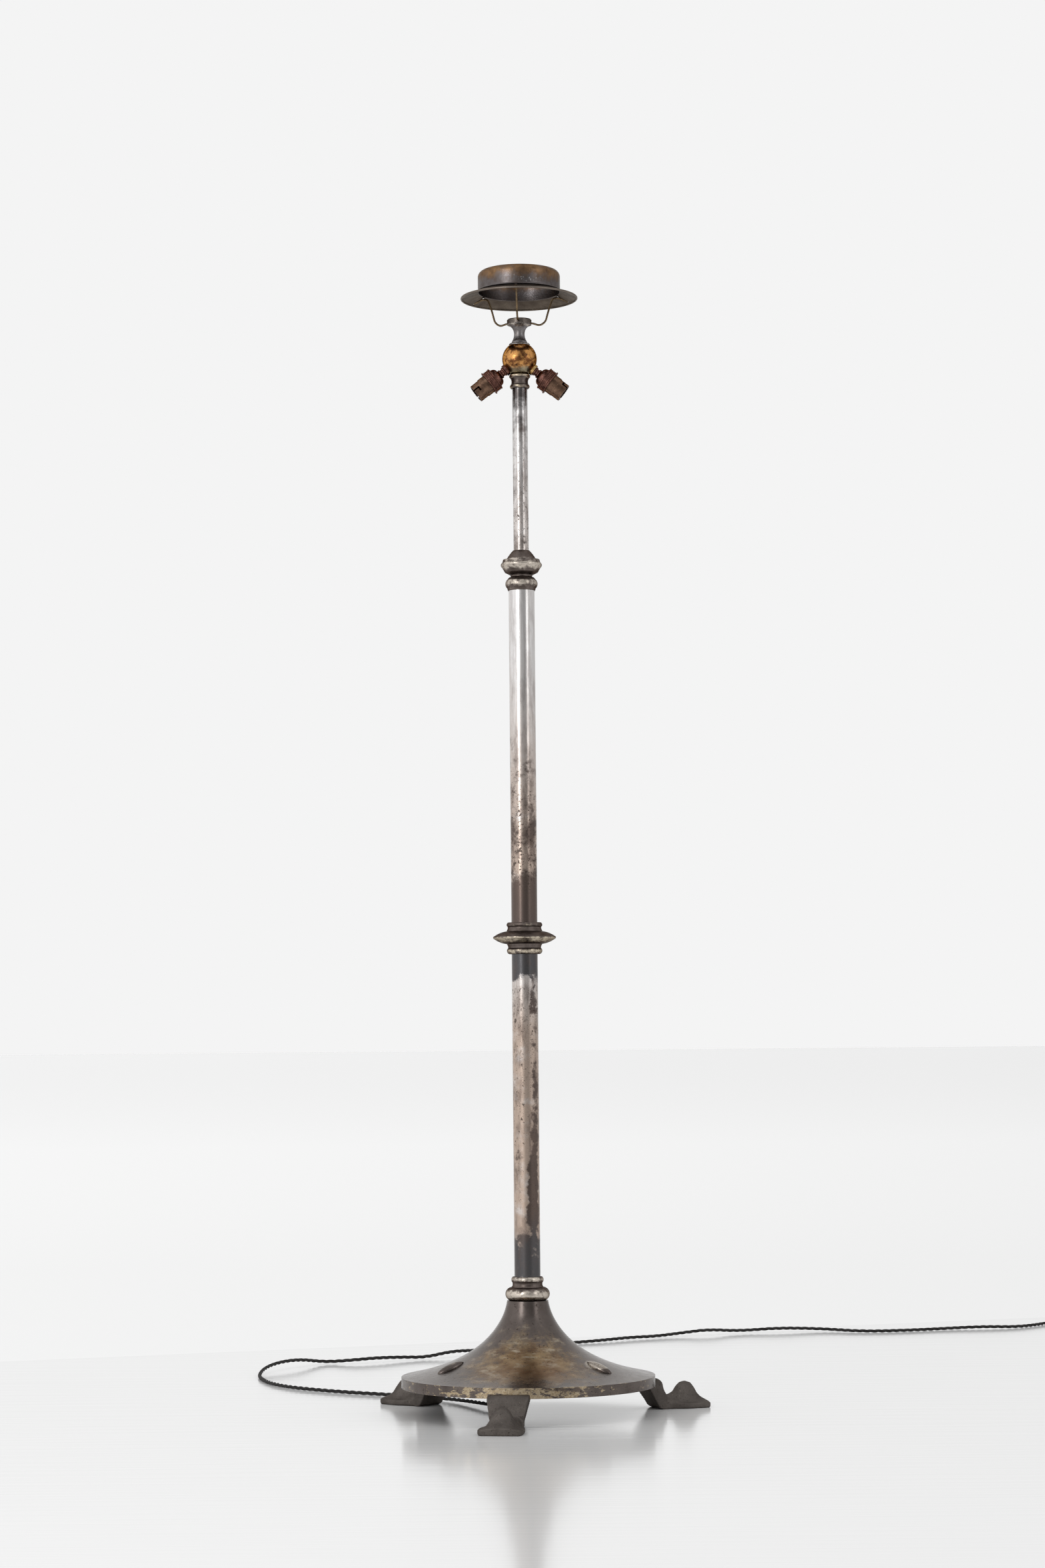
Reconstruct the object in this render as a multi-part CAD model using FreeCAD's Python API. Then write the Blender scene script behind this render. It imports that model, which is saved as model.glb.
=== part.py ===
import FreeCAD, Part
import os
from math import atan2, cos, degrees, hypot, pi, radians, sin, tan

# A telescopic standard lamp: a cast base on three feet, a two-part column, a sliding stem with a
# clamp nut, a ball with two bayonet lampholders, a wire-armed shade gallery and a twisted flex.
# Millimetres, +Z up. The origin is on the floor under the axis of the column.

Vector = FreeCAD.Vector

# clearances
running_gap = 0.05       # radial, for what turns or slides in its hole
seat_gap = 0.3           # between curved faces that lie side by side
fit_gap = 0.05           # radial, for what is screwed or pressed in and stays

# base casting
rim_radius = 186.2
rim_bottom = 41.8
rim_height = 15.4
shell_wall = 3.0
crown_radius = 30.2
crown_height = 167.7
crown_plate = 3.5
boss_ring_radius = 124.8
boss_angles = (-34.5, 85.5, 205.5)
boss_length = 44.0
boss_width = 18.5
boss_rise = 6.0
lug_radius = 9.0

# feet
foot_angles = (-98.6, 21.5, 137.2)
foot_reach = 94.3        # from the rim to the tip of the toe
foot_top_width = 60.0
foot_waist_width = 48.0
toe_width = 64.5
heel_setback = 27.0      # from the top of the leg's inner face to its foot
hump_height = 38.9
saddle_height = 18.2
sole_edge = 8.0          # upright edge of the toe
sole_chamfer = 1.6
lip_thickness = 1.6
lip_height = 6.0
tongue_thickness = 5.0
tongue_length = 32.0
tongue_width = 38.0
foot_screw_radius = 2.5
foot_screw_head_radius = 4.8
foot_screw_head_height = 3.4

# ballast and the threaded tube that clamps the base together
ballast_radius = 104.0
ballast_edge_height = 14.0
ballast_recess_radius = 34.0
ballast_post_wall = 5.0
ballast_neck_radius = 20.0
ballast_lift = 3.0       # above the rim's lower edge
ballast_recess_top = 102.0
spigot_radius = 8.0
spigot_bore = 5.2
nut_across_flats = 26.0
nut_height = 8.0
washer_radius = 16.0
washer_thickness = 2.0
spigot_tail = 4.0        # thread that stands out below the nut

# column
column_radius = 19.05
column_wall = 1.6
collar_height = 34.7
collar_floor = 12.4
lower_column_length = 514.9
middle_collar_height = 46.4
middle_socket = 19.6
middle_shoulder = 9.3
middle_disc_radius = 46.2
upper_column_length = 518.0
cap_socket = 13.9
cap_height = 22.7
cap_thread_radius = 14.0
cap_thread_height = 17.6

# clamp nut
clamp_height = 35.1
clamp_radius = 30.2
clamp_lift = 1.0         # between the cap's neck and the nut

# sliding stem
stem_radius = 11.1
stem_wall = 1.3
stem_length = 697.5
stem_bottom = 824.0
guide_length = 28.0
ferrule_height = 6.0
ferrule_radius = 14.0
clip_thickness = 1.5
stem_collar_height = 20.2
stem_collar_overlap = 16.5

# ball and neck
ball_radius = 25.4
ball_wall = 2.5
ball_lift = 1.0          # from the top of the stem to the ball
neck_height = 25.3       # from the top of the ball to the hub
neck_waist = 7.8
neck_flare = 17.7

# shade carrier and gallery
hub_radius = 18.0
hub_height = 7.8
arm_angles = (-94.0, 26.0, 146.0)
arm_wire = 1.4
arm_socket = 7.0
gallery_radius = 60.3
gallery_wall = 1.0
gallery_lift = 48.1      # from the foot of the hub to the foot of the crown
crown_wall_height = 21.4
crown_shoulder = 9.2
crown_lip = 2.3
brim_radius = 85.0
brim_drop = 9.1
brim_roll = 1.4
slot_inset = 1.6         # from the crown to the slot that an arm's end lies in
slot_end = 3.0           # from the slot to the edge of the brim
arm_tip_inset = 4.9      # from the arm's end to the edge of the brim

# lampholders, along their own axis outward from the ball
holder_tilt = 38.0
holder_turns = {-1: 73.0, 1: 53.0}  # left and right, about their axis: a slot faces forward
thread_radius = 5.0
lead_hole = 3.4
lock_ring_radius = 8.5
lock_ring_height = 2.2   # from the ball's surface
nipple_collar_radius = 6.75
nipple_collar_length = 9.4
nipple_tail = 6.0        # thread inside the cap
holder_cap_radius = 14.3
holder_cap_wall = 1.25
holder_cap_length = 14.4
shade_ring_radius = 18.5
shade_ring_setback = 6.2  # the ring starts this far before the cap's end
shade_ring_length = 12.4
barrel_thread_radius = 14.35
barrel_thread_length = 16.4
thread_relief = 0.6
barrel_radius = 13.5
barrel_bore = 11.4
barrel_length = 30.4     # from the cap's end to the mouth
mouth_depth = 12.2       # length of the full bore
seat_radius = 11.0
ledge_radius = 9.6
ledge_length = 3.0
insulator_length = 9.2
plunger_radius = 2.5
plunger_pitch = 11.5
plunger_length = 8.5
plunger_setback = 0.5    # from the start of the full bore to the tip
plunger_travel = 3.5
plunger_wall = 0.8
bore_floor_thickness = 1.6
spring_wall = 0.5
bayonet_slot = 2.6
bayonet_depth = 9.5
bayonet_hook = 4.5

# flex
flex_radius = 2.9
cord_radius = 3.0
floor_gap = 0.1
bush_flange_radius = 9.5
bush_flange_height = 6.0
bush_depth = 10.0
relief_length = 30.0
relief_top_radius = 6.5
relief_end_radius = 4.2
lead_radius = 1.1
lead_pitch = 2.8         # between the leads in the nipple

# mains plug, lying on its back with its pins up
plug_length = 52.0
plug_width = 50.0
plug_cover_height = 14.0
plug_base_height = 8.0
plug_nose_width = 26.0
plug_corner = 5.0
pin_thickness = 4.0
earth_pin = (8.0, 22.7)
line_pin = (6.3, 17.7)
line_pin_pitch = 22.2
earth_pin_offset = 22.2
plug_screw_radius = 3.4

# heights and radii that follow from the sizes above
rim_top = rim_bottom + rim_height
collar_base = crown_height
column_base = collar_base + collar_floor
lower_column_top = column_base + lower_column_length
middle_base = lower_column_top - middle_socket
upper_column_base = lower_column_top + middle_shoulder
upper_column_top = upper_column_base + upper_column_length
cap_base = upper_column_top - cap_socket
clamp_base = cap_base + cap_height + clamp_lift
cap_thread_top = cap_base + cap_height + cap_thread_height
column_bore = column_radius - column_wall
stem_top = stem_bottom + stem_length
stem_bore = stem_radius - stem_wall
ball_height = stem_top + ball_lift + ball_radius
hub_base = ball_height + ball_radius + neck_height
hub_middle = hub_base + hub_height / 2
gallery_base = hub_base + gallery_lift
spigot_bottom = ballast_recess_top - washer_thickness - nut_height - spigot_tail
spigot_top = column_base + 20.0
bush_bottom = spigot_bottom - bush_flange_height
relief_bottom = bush_bottom - relief_length
foot_start = rim_radius - shell_wall - 8.0
lug_ring_radius = foot_start - tongue_length + tongue_width / 2
fork_height = 4.0        # where the leads part, short of the ball's centre

# places along a lampholder's axis, from the centre of the ball
lock_ring_end = ball_radius + lock_ring_height
nipple_collar_end = lock_ring_end + nipple_collar_length
nipple_end = nipple_collar_end + nipple_tail
holder_cap_end = nipple_collar_end + holder_cap_length
shade_ring_start = holder_cap_end - shade_ring_setback
shade_ring_end = shade_ring_start + shade_ring_length
barrel_thread_end = holder_cap_end + barrel_thread_length
barrel_end = holder_cap_end + barrel_length
mouth_start = barrel_end - mouth_depth
ledge_end = holder_cap_end + ledge_length
insulator_end = ledge_end + insulator_length
bore_floor = ledge_end + bore_floor_thickness
plunger_tip = mouth_start - plunger_setback
plunger_start = plunger_tip - plunger_length


class Outline:
    """A closed outline in the X-Z plane, drawn edge by edge, x being the radius."""

    def __init__(self, radius, height):
        self.start = Vector(radius, 0, height)
        self.here = self.start
        self.edges = []

    def line(self, radius, height):
        end = Vector(radius, 0, height)
        self.edges.append(Part.LineSegment(self.here, end).toShape())
        self.here = end
        return self

    def arc(self, middle, end):
        through = Vector(middle[0], 0, middle[1])
        finish = Vector(end[0], 0, end[1])
        self.edges.append(Part.Arc(self.here, through, finish).toShape())
        self.here = finish
        return self

    def curve(self, points):
        through = [self.here] + [Vector(r, 0, z) for r, z in points]
        spline = Part.BSplineCurve()
        spline.interpolate(through)
        self.edges.append(spline.toShape())
        self.here = through[-1]
        return self

    def face(self):
        if (self.here - self.start).Length > 1e-6:
            self.line(self.start.x, self.start.z)
        return Part.Face(Part.Wire(self.edges))

    def turned(self):
        return self.face().revolve(Vector(0, 0, 0), Vector(0, 0, 1), 360)


def cylinder(radius, bottom, top, x=0.0, y=0.0):
    return Part.makeCylinder(radius, top - bottom, Vector(x, y, bottom))


def tube(outer, inner, bottom, top):
    return cylinder(outer, bottom, top).cut(cylinder(inner, bottom - 1, top + 1))


def box(x_range, y_range, z_range):
    size = [high - low for low, high in (x_range, y_range, z_range)]
    return Part.makeBox(size[0], size[1], size[2], Vector(x_range[0], y_range[0], z_range[0]))


def turned_to(shape, angle):
    """A copy of a shape, turned about the column's axis."""
    copy = shape.copy()
    copy.rotate(Vector(0, 0, 0), Vector(0, 0, 1), angle)
    return copy


def bent_path(points):
    """Straight runs joined by tangent arcs, each as large as its two runs allow."""
    edges = []
    radii = []
    here = points[0]
    for before, corner, after in zip(points, points[1:], points[2:]):
        inward = (before - corner).normalize()
        outward = (after - corner).normalize()
        half_turn = (pi - inward.getAngle(outward)) / 2
        reach = 0.45 * min((before - corner).Length, (after - corner).Length)
        radius = reach / tan(half_turn)
        start = corner + inward * reach
        end = corner + outward * reach
        bisector = (inward + outward).normalize()
        middle = corner + bisector * (radius / cos(half_turn) - radius)
        edges.append(Part.LineSegment(here, start).toShape())
        edges.append(Part.Arc(start, middle, end).toShape())
        radii.append(radius)
        here = end
    edges.append(Part.LineSegment(here, points[-1]).toShape())
    return Part.Wire(edges), radii


def round_bar(points, radius):
    """A round bar or flex along a bent path."""
    path, radii = bent_path(points)
    start_direction = (points[1] - points[0]).normalize()
    section = Part.Wire(Part.Circle(points[0], start_direction, radius).toShape())
    return path.makePipeShell([section], True, False), path.Length, radii


# base

def flare_points():
    """The cast flare from the crown to the rim, as shares of its width and of its height."""
    shape = ((0, 0), (0.020, 0.119), (0.064, 0.261), (0.145, 0.427),
             (0.257, 0.583), (0.428, 0.739), (0.640, 0.868), (1, 1))
    width = rim_radius - crown_radius
    height = crown_height - rim_top
    return [(crown_radius + across * width, crown_height - down * height) for across, down in shape]


def moved_inward(points, distance):
    """The same curve, moved by a wall's thickness towards the hollow side."""
    moved = []
    for index, (radius, height) in enumerate(points):
        before = points[max(index - 1, 0)]
        after = points[min(index + 1, len(points) - 1)]
        run = hypot(after[0] - before[0], after[1] - before[1])
        across = (after[0] - before[0]) / run
        down = (before[1] - after[1]) / run
        moved.append((radius - distance * down, height - distance * across))
    return moved


def flare_height(radius):
    """Height of the flare's outer face at a radius."""
    points = flare_points()
    for (r0, z0), (r1, z1) in zip(points, points[1:]):
        if r0 <= radius <= r1:
            return z0 + (z1 - z0) * (radius - r0) / (r1 - r0)
    return rim_top


def boss():
    """One low oval boss, lying along a radius of the brim."""
    ball = Part.makeSphere(1.0)
    stretch = FreeCAD.Matrix()
    stretch.scale(boss_length / 2, boss_width / 2, boss_rise)
    oval = ball.transformGeometry(stretch)
    inner = boss_ring_radius - boss_length / 3
    outer = boss_ring_radius + boss_length / 3
    slope = degrees(atan2(flare_height(inner) - flare_height(outer), outer - inner))
    oval.rotate(Vector(0, 0, 0), Vector(0, 1, 0), slope)
    oval.translate(Vector(boss_ring_radius, 0, flare_height(boss_ring_radius)))
    return oval


def base_shell():
    outer = flare_points()
    inner = moved_inward(outer, shell_wall)
    inner_rim = rim_radius - shell_wall
    inner_curve = [point for point in inner[1:-1] if point[1] < crown_height - crown_plate]
    ceiling = crown_height - crown_plate
    outline = Outline(spigot_radius + fit_gap, crown_height)
    outline.line(crown_radius, crown_height)
    outline.curve(outer[1:])
    outline.line(rim_radius, rim_bottom)
    outline.line(inner_rim, rim_bottom)
    outline.line(inner_rim, rim_top - shell_wall)
    outline.curve(list(reversed(inner_curve)) + [(inner_curve[0][0] - 1.5, ceiling)])
    outline.line(spigot_radius + fit_gap, ceiling)
    shell = outline.turned()
    outer_outline = Outline(0, crown_height)
    outer_outline.line(crown_radius, crown_height)
    outer_outline.curve(outer[1:])
    outer_outline.line(rim_radius, rim_bottom)
    outer_outline.line(0, rim_bottom)
    inside = outer_outline.turned()
    raised = boss().cut(inside)
    for angle in boss_angles:
        shell = shell.fuse(turned_to(raised, angle))
    lug_bottom = rim_bottom + tongue_thickness
    lug = cylinder(lug_radius, lug_bottom, flare_height(lug_ring_radius), lug_ring_radius)
    lug = lug.common(inside)
    lug = lug.cut(cylinder(foot_screw_radius, lug_bottom - 1, lug_bottom + 7, lug_ring_radius))
    for angle in foot_angles:
        shell = shell.fuse(turned_to(lug, angle))
    return shell.removeSplitter()


def bell_section(radius, half_width, height, fullness):
    """A section across the toe: chamfered sole, upright edges and a bell-shaped top."""
    under = -1.0
    edge = min(sole_edge, height * 0.7)
    rise = height - edge
    flank = edge + rise * fullness
    shoulder = flank + (height - flank) * 0.58
    over = Part.BSplineCurve()
    over.interpolate([
        Vector(radius, half_width, edge),
        Vector(radius, half_width * 0.60, flank),
        Vector(radius, half_width * 0.38, shoulder),
        Vector(radius, 0, height),
        Vector(radius, -half_width * 0.38, shoulder),
        Vector(radius, -half_width * 0.60, flank),
        Vector(radius, -half_width, edge),
    ])
    tread = half_width - sole_chamfer + under
    corners = [
        Vector(radius, -half_width, edge),
        Vector(radius, -half_width, sole_chamfer),
        Vector(radius, -tread, under),
        Vector(radius, tread, under),
        Vector(radius, half_width, sole_chamfer),
        Vector(radius, half_width, edge),
    ]
    sides = [Part.LineSegment(a, b).toShape() for a, b in zip(corners, corners[1:])]
    return Part.Wire([over.toShape()] + sides)


def foot_toe():
    """The toe, from the saddle over the hump to the tip: share of reach, half width, height, fullness."""
    waist = foot_waist_width / 2
    widest = toe_width / 2
    stations = (
        (0.225, waist, saddle_height + 4.0, 0.90),
        (0.355, waist, saddle_height, 0.85),
        (0.440, waist * 1.10, saddle_height + 2.8, 0.65),
        (0.504, widest * 0.88, hump_height * 0.65, 0.42),
        (0.547, widest * 0.94, hump_height * 0.84, 0.30),
        (0.600, widest * 0.98, hump_height * 0.96, 0.24),
        (0.682, widest, hump_height, 0.22),
        (0.774, widest, hump_height * 0.93, 0.23),
        (0.818, widest, hump_height * 0.78, 0.28),
        (0.850, widest * 0.99, hump_height * 0.60, 0.36),
        (0.907, widest * 0.98, hump_height * 0.43, 0.50),
        (0.965, widest * 0.94, hump_height * 0.33, 0.65),
        (1.000, widest * 0.86, hump_height * 0.27, 0.80),
    )
    sections = []
    for share, half_width, height, fullness in stations:
        sections.append(bell_section(rim_radius + share * foot_reach, half_width, height, fullness))
    toe = Part.makeLoft(sections, True, True)
    floor = box((0, 2 * rim_radius), (-toe_width, toe_width), (-5, 0))
    return toe.cut(floor)


def foot_leg():
    """The leg that carries the rim: side outline, trimmed to its tapered width."""
    heel = foot_start + heel_setback
    saddle = rim_radius + 0.27 * foot_reach
    top_edge = rim_radius + 0.18 * foot_reach
    side = Outline(foot_start, rim_bottom)
    side.line(heel - 4.5, 6.8)
    side.arc((heel - 1.2, 2.3), (heel + 4.0, 0))
    side.line(saddle, 0)
    side.line(saddle, saddle_height + 3.0)
    side.arc((top_edge + 4.0, saddle_height + 8.6), (top_edge, rim_bottom - 5.0))
    side.arc((top_edge - 5.0, rim_bottom + 2.5), (rim_radius + lip_thickness, rim_bottom + lip_height))
    side.line(rim_radius - 4.0, rim_bottom + lip_height)
    side.line(rim_radius - 4.0, rim_bottom)
    half_top = foot_top_width / 2
    half_waist = foot_waist_width / 2
    slab = side.face().extrude(Vector(0, foot_top_width, 0))
    slab.translate(Vector(0, -half_top, 0))
    corners = [
        Vector(0, -half_waist, 0),
        Vector(0, half_waist, 0),
        Vector(0, half_waist, saddle_height * 0.7),
        Vector(0, half_top, rim_bottom),
        Vector(0, half_top, rim_bottom + lip_height),
        Vector(0, -half_top, rim_bottom + lip_height),
        Vector(0, -half_top, rim_bottom),
        Vector(0, -half_waist, saddle_height * 0.7),
    ]
    front = Part.Face(Part.makePolygon(corners + corners[:1]))
    trim = front.extrude(Vector(saddle + 10, 0, 0))
    return slab.common(trim)


def foot():
    leg = foot_leg()
    under_rim = cylinder(rim_radius + 0.2, rim_bottom, rim_top)
    leg = leg.cut(under_rim)
    tongue_start = foot_start - tongue_length
    tongue_end = rim_radius - shell_wall - seat_gap
    top = rim_bottom + tongue_thickness
    half = tongue_width / 2
    tongue = box((tongue_start, tongue_end + 10), (-half, half), (rim_bottom - 1, top))
    tongue = tongue.common(cylinder(tongue_end, rim_bottom - 2, top + 1))
    hole = cylinder(foot_screw_radius + fit_gap, rim_bottom - 2, top + 1, lug_ring_radius)
    return leg.fuse(foot_toe()).fuse(tongue.cut(hole)).removeSplitter()


def foot_screw():
    head_top = rim_bottom - 1
    head = cylinder(foot_screw_head_radius, head_top - foot_screw_head_height, head_top, lug_ring_radius)
    shank = cylinder(foot_screw_radius, head_top, rim_bottom + tongue_thickness + 6, lug_ring_radius)
    slot = box((lug_ring_radius - 6, lug_ring_radius + 6), (-0.6, 0.6),
               (head_top - foot_screw_head_height - 1, head_top - foot_screw_head_height + 1.2))
    return head.fuse(shank).cut(slot)


def ballast_weight():
    """A flat ring of iron with a hollow post in the middle that reaches up to the crown."""
    ceiling = crown_height - crown_plate
    bore = spigot_radius + fit_gap
    bottom = rim_bottom + ballast_lift
    post = ballast_recess_radius + ballast_post_wall
    outline = Outline(ballast_recess_radius, bottom)
    outline.line(ballast_radius, bottom)
    outline.line(ballast_radius, bottom + ballast_edge_height)
    outline.line(post + 6.0, bottom + ballast_edge_height + 6.0)
    outline.line(post, ballast_recess_top - 14.0)
    outline.line(ballast_neck_radius, ballast_recess_top + 10.0)
    outline.line(ballast_neck_radius, ceiling)
    outline.line(bore, ceiling)
    outline.line(bore, ballast_recess_top)
    outline.line(ballast_recess_radius - 12.0, ballast_recess_top)
    outline.line(ballast_recess_radius, ballast_recess_top - 22.0)
    return outline.turned()


def hexagon_nut(bottom):
    corner = nut_across_flats / 2 / cos(radians(30))
    points = [Vector(corner * cos(radians(60 * i)), corner * sin(radians(60 * i)), bottom) for i in range(7)]
    nut = Part.Face(Part.makePolygon(points)).extrude(Vector(0, 0, nut_height))
    return nut.cut(cylinder(spigot_radius + fit_gap, bottom - 1, bottom + nut_height + 1))


def cord_bush():
    flange = cylinder(bush_flange_radius, bush_bottom, spigot_bottom)
    sleeve = cylinder(spigot_bore - fit_gap, spigot_bottom, spigot_bottom + bush_depth)
    hole = cylinder(flex_radius + 0.2, bush_bottom - 1, spigot_bottom + bush_depth + 1)
    return flange.fuse(sleeve).cut(hole)


def strain_relief():
    taper = Part.makeCone(relief_end_radius, relief_top_radius, relief_length, Vector(0, 0, relief_bottom))
    return taper.cut(cylinder(flex_radius + 0.2, relief_bottom - 1, bush_bottom + 1))


# column

def base_collar():
    z = collar_base
    bore = spigot_radius + fit_gap
    socket = column_radius + fit_gap
    outline = Outline(bore, z)
    outline.line(socket + 7.0, z)
    outline.arc((socket + 13.5, z + 9.9), (socket + 4.4, z + 19.6))
    outline.arc((socket + 2.8, z + 23.0), (socket + 3.2, z + 26.4))
    outline.arc((socket + 4.6, z + 30.2), (socket + 2.6, z + collar_height))
    outline.line(socket, z + collar_height)
    outline.line(socket, z + collar_floor)
    outline.line(bore, z + collar_floor)
    return outline.turned()


def middle_collar():
    z = middle_base
    socket = column_radius + fit_gap
    centre = z + middle_socket + middle_shoulder / 2
    edge = middle_disc_radius
    outline = Outline(socket, z)
    outline.line(socket + 3.4, z)
    outline.arc((socket + 6.9, z + 4.6), (socket + 5.0, z + 9.0))
    outline.line(socket + 5.4, z + 12.0)
    outline.line(socket + 7.0, centre - 9.4)
    outline.arc(((socket + edge) / 2 + 5.0, centre - 6.2), (edge - 1.6, centre - 2.2))
    outline.arc((edge, centre), (edge - 1.6, centre + 2.2))
    outline.arc(((socket + edge) / 2 + 5.0, centre + 6.2), (socket + 7.2, centre + 9.4))
    outline.line(socket + 5.5, z + middle_collar_height - 8.6)
    outline.line(socket + 5.5, z + middle_collar_height - 6.6)
    outline.arc((socket + 7.1, z + middle_collar_height - 3.4), (socket + 5.2, z + middle_collar_height))
    outline.line(socket, z + middle_collar_height)
    outline.line(socket, upper_column_base)
    outline.line(column_bore, upper_column_base)
    outline.line(column_bore, lower_column_top)
    outline.line(socket, lower_column_top)
    return outline.turned()


def column_cap():
    z = cap_base
    socket = column_radius + fit_gap
    guide = stem_radius + running_gap
    outline = Outline(socket, z)
    outline.line(socket + 0.9, z)
    outline.line(socket + 1.9, z + 3.6)
    outline.arc((socket + 4.6, z + 10.5), (socket + 1.6, z + 16.5))
    outline.line(socket - 0.6, z + 19.2)
    outline.arc((cap_thread_radius + 1.8, z + 20.9), (cap_thread_radius + 2.4, z + cap_height))
    outline.line(cap_thread_radius, z + cap_height)
    outline.line(cap_thread_radius, cap_thread_top)
    outline.line(guide, cap_thread_top)
    outline.line(guide, upper_column_top)
    outline.line(socket, upper_column_top)
    return outline.turned()


def clamp_nut():
    z = clamp_base
    edge = clamp_radius
    thread = cap_thread_radius + running_gap
    mouth = stem_radius + seat_gap
    cone_start = cap_thread_top + 4.0
    outline = Outline(thread, z)
    outline.line(edge - 12.0, z)
    outline.line(edge - 6.0, z + 3.1)
    outline.curve([(edge - 4.0, z + 6.6), (edge - 1.6, z + 10.5)])
    outline.arc((edge, z + 13.6), (edge - 2.2, z + 17.3))
    outline.line(edge - 3.4, z + 21.7)
    outline.line(edge - 8.2, z + 22.1)
    outline.arc((edge - 11.6, z + 27.4), (mouth + 0.9, z + clamp_height))
    outline.line(mouth, z + clamp_height)
    outline.line(mouth, cone_start + 7.0)
    outline.line(cap_thread_radius + 2.0, cone_start)
    outline.line(cap_thread_radius + 2.0, cap_thread_top - 1.0)
    outline.line(thread, cap_thread_top - 1.0)
    return outline.turned()


def clamp_collet():
    inner = stem_radius + running_gap
    widest = cap_thread_radius + 1.4
    outline = Outline(inner, cap_thread_top)
    outline.line(widest, cap_thread_top)
    outline.line(widest, cap_thread_top + 3.4)
    outline.line(inner + 1.2, cap_thread_top + 8.6)
    outline.line(inner, cap_thread_top + 8.6)
    slit = box((0, widest + 5), (-0.75, 0.75), (cap_thread_top - 1, cap_thread_top + 12))
    return outline.turned().cut(slit)


# stem

def stem():
    pipe = tube(stem_radius, stem_bore, stem_bottom, stem_top)
    ferrule = tube(ferrule_radius, stem_bore, stem_bottom - ferrule_height, stem_bottom)
    return pipe.fuse(ferrule).removeSplitter()


def stem_guide():
    bottom = stem_bottom + seat_gap
    return tube(column_bore - running_gap, stem_radius + running_gap, bottom, bottom + guide_length)


def guide_clip():
    bottom = stem_bottom + seat_gap + guide_length + seat_gap
    clip = tube(ferrule_radius, stem_radius + fit_gap, bottom, bottom + clip_thickness)
    return clip.cut(box((0, ferrule_radius + 5), (-3, 3), (bottom - 1, bottom + clip_thickness + 1)))


def stem_nipple():
    plug = cylinder(stem_bore - fit_gap, stem_top - 24, stem_top)
    thread = cylinder(spigot_radius, stem_top, ball_height - ball_radius + ball_wall + 5)
    return plug.fuse(thread).cut(cylinder(spigot_bore, stem_top - 25, ball_height)).removeSplitter()


def stem_collar():
    z = stem_top - stem_collar_overlap
    bore = stem_radius + fit_gap
    outline = Outline(bore, z)
    outline.line(bore + 1.8, z)
    outline.arc((bore + 3.4, z + 2.8), (bore + 1.8, z + 5.6))
    outline.arc((bore + 1.0, z + 9.9), (bore + 2.6, z + 15.0))
    outline.line(bore + 3.2, z + 15.4)
    outline.arc((bore + 4.4, z + 17.7), (bore + 3.2, z + stem_collar_height))
    outline.line(bore, z + stem_collar_height)
    ball = Part.makeSphere(ball_radius, Vector(0, 0, ball_height))
    return outline.turned().cut(ball)


def cluster_ball():
    centre = Vector(0, 0, ball_height)
    ball = Part.makeSphere(ball_radius, centre).cut(Part.makeSphere(ball_radius - ball_wall, centre))
    ball = ball.cut(cylinder(spigot_radius + fit_gap, ball_height - ball_radius - 1, ball_height))
    ball = ball.cut(cylinder(thread_radius + fit_gap, ball_height, ball_height + ball_radius + 1))
    for side in (-1, 1):
        hole = cylinder(thread_radius + fit_gap, ball_radius - 2 * ball_wall, ball_radius + 2)
        ball = ball.cut(on_holder_axis(hole, side))
    return ball


def ball_neck():
    z = ball_height + ball_radius
    outline = Outline(0, z - 6.0)
    outline.line(13.0, z - 6.0)
    outline.arc((15.4, z - 4.2), (13.4, z - 2.4))
    outline.line(11.6, z - 1.8)
    outline.line(11.0, z + 0.6)
    outline.curve([(9.0, z + 4.6), (neck_waist, z + 9.8), (9.0, z + neck_height - 7.6),
                   (12.6, z + neck_height - 2.8), (neck_flare, z + neck_height - 0.5)])
    outline.line(neck_flare, z + neck_height)
    outline.line(0, z + neck_height)
    body = outline.turned().cut(Part.makeSphere(ball_radius, Vector(0, 0, ball_height)))
    spigot = cylinder(thread_radius, z - 7.0, z)
    return body.fuse(spigot).cut(cylinder(2.5, hub_base - 16, hub_base + 1)).removeSplitter()


# shade carrier

def carrier_hub():
    soft = 1.2
    outline = Outline(0, hub_base)
    outline.line(hub_radius - soft, hub_base)
    outline.arc((hub_radius - soft * 0.29, hub_base + soft * 0.29), (hub_radius, hub_base + soft))
    outline.line(hub_radius, hub_base + hub_height - soft)
    outline.line(hub_radius - soft, hub_base + hub_height)
    outline.line(0, hub_base + hub_height)
    hub = outline.turned().cut(cylinder(2.55, hub_base - 1, hub_base + hub_height))
    hub = hub.cut(cylinder(4.7, hub_base + hub_height - 3, hub_base + hub_height + 1))
    for angle in arm_angles:
        socket = Part.makeCylinder(arm_wire + fit_gap, arm_socket + 2,
                                   Vector(hub_radius - arm_socket, 0, hub_middle), Vector(1, 0, 0))
        hub = hub.cut(turned_to(socket, angle))
    return hub


def hub_screw():
    top = hub_base + hub_height
    head = cylinder(4.5, top - 3, top - 0.4)
    shank = cylinder(2.45, hub_base - 14, top - 3)
    slot = box((-6, 6), (-0.5, 0.5), (top - 1.4, top + 1))
    return head.fuse(shank).cut(slot)


def brim_height(radius):
    """Height of the brim's upper face at a radius."""
    return gallery_base - brim_drop * (radius - gallery_radius) / (brim_radius - gallery_radius)


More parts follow.
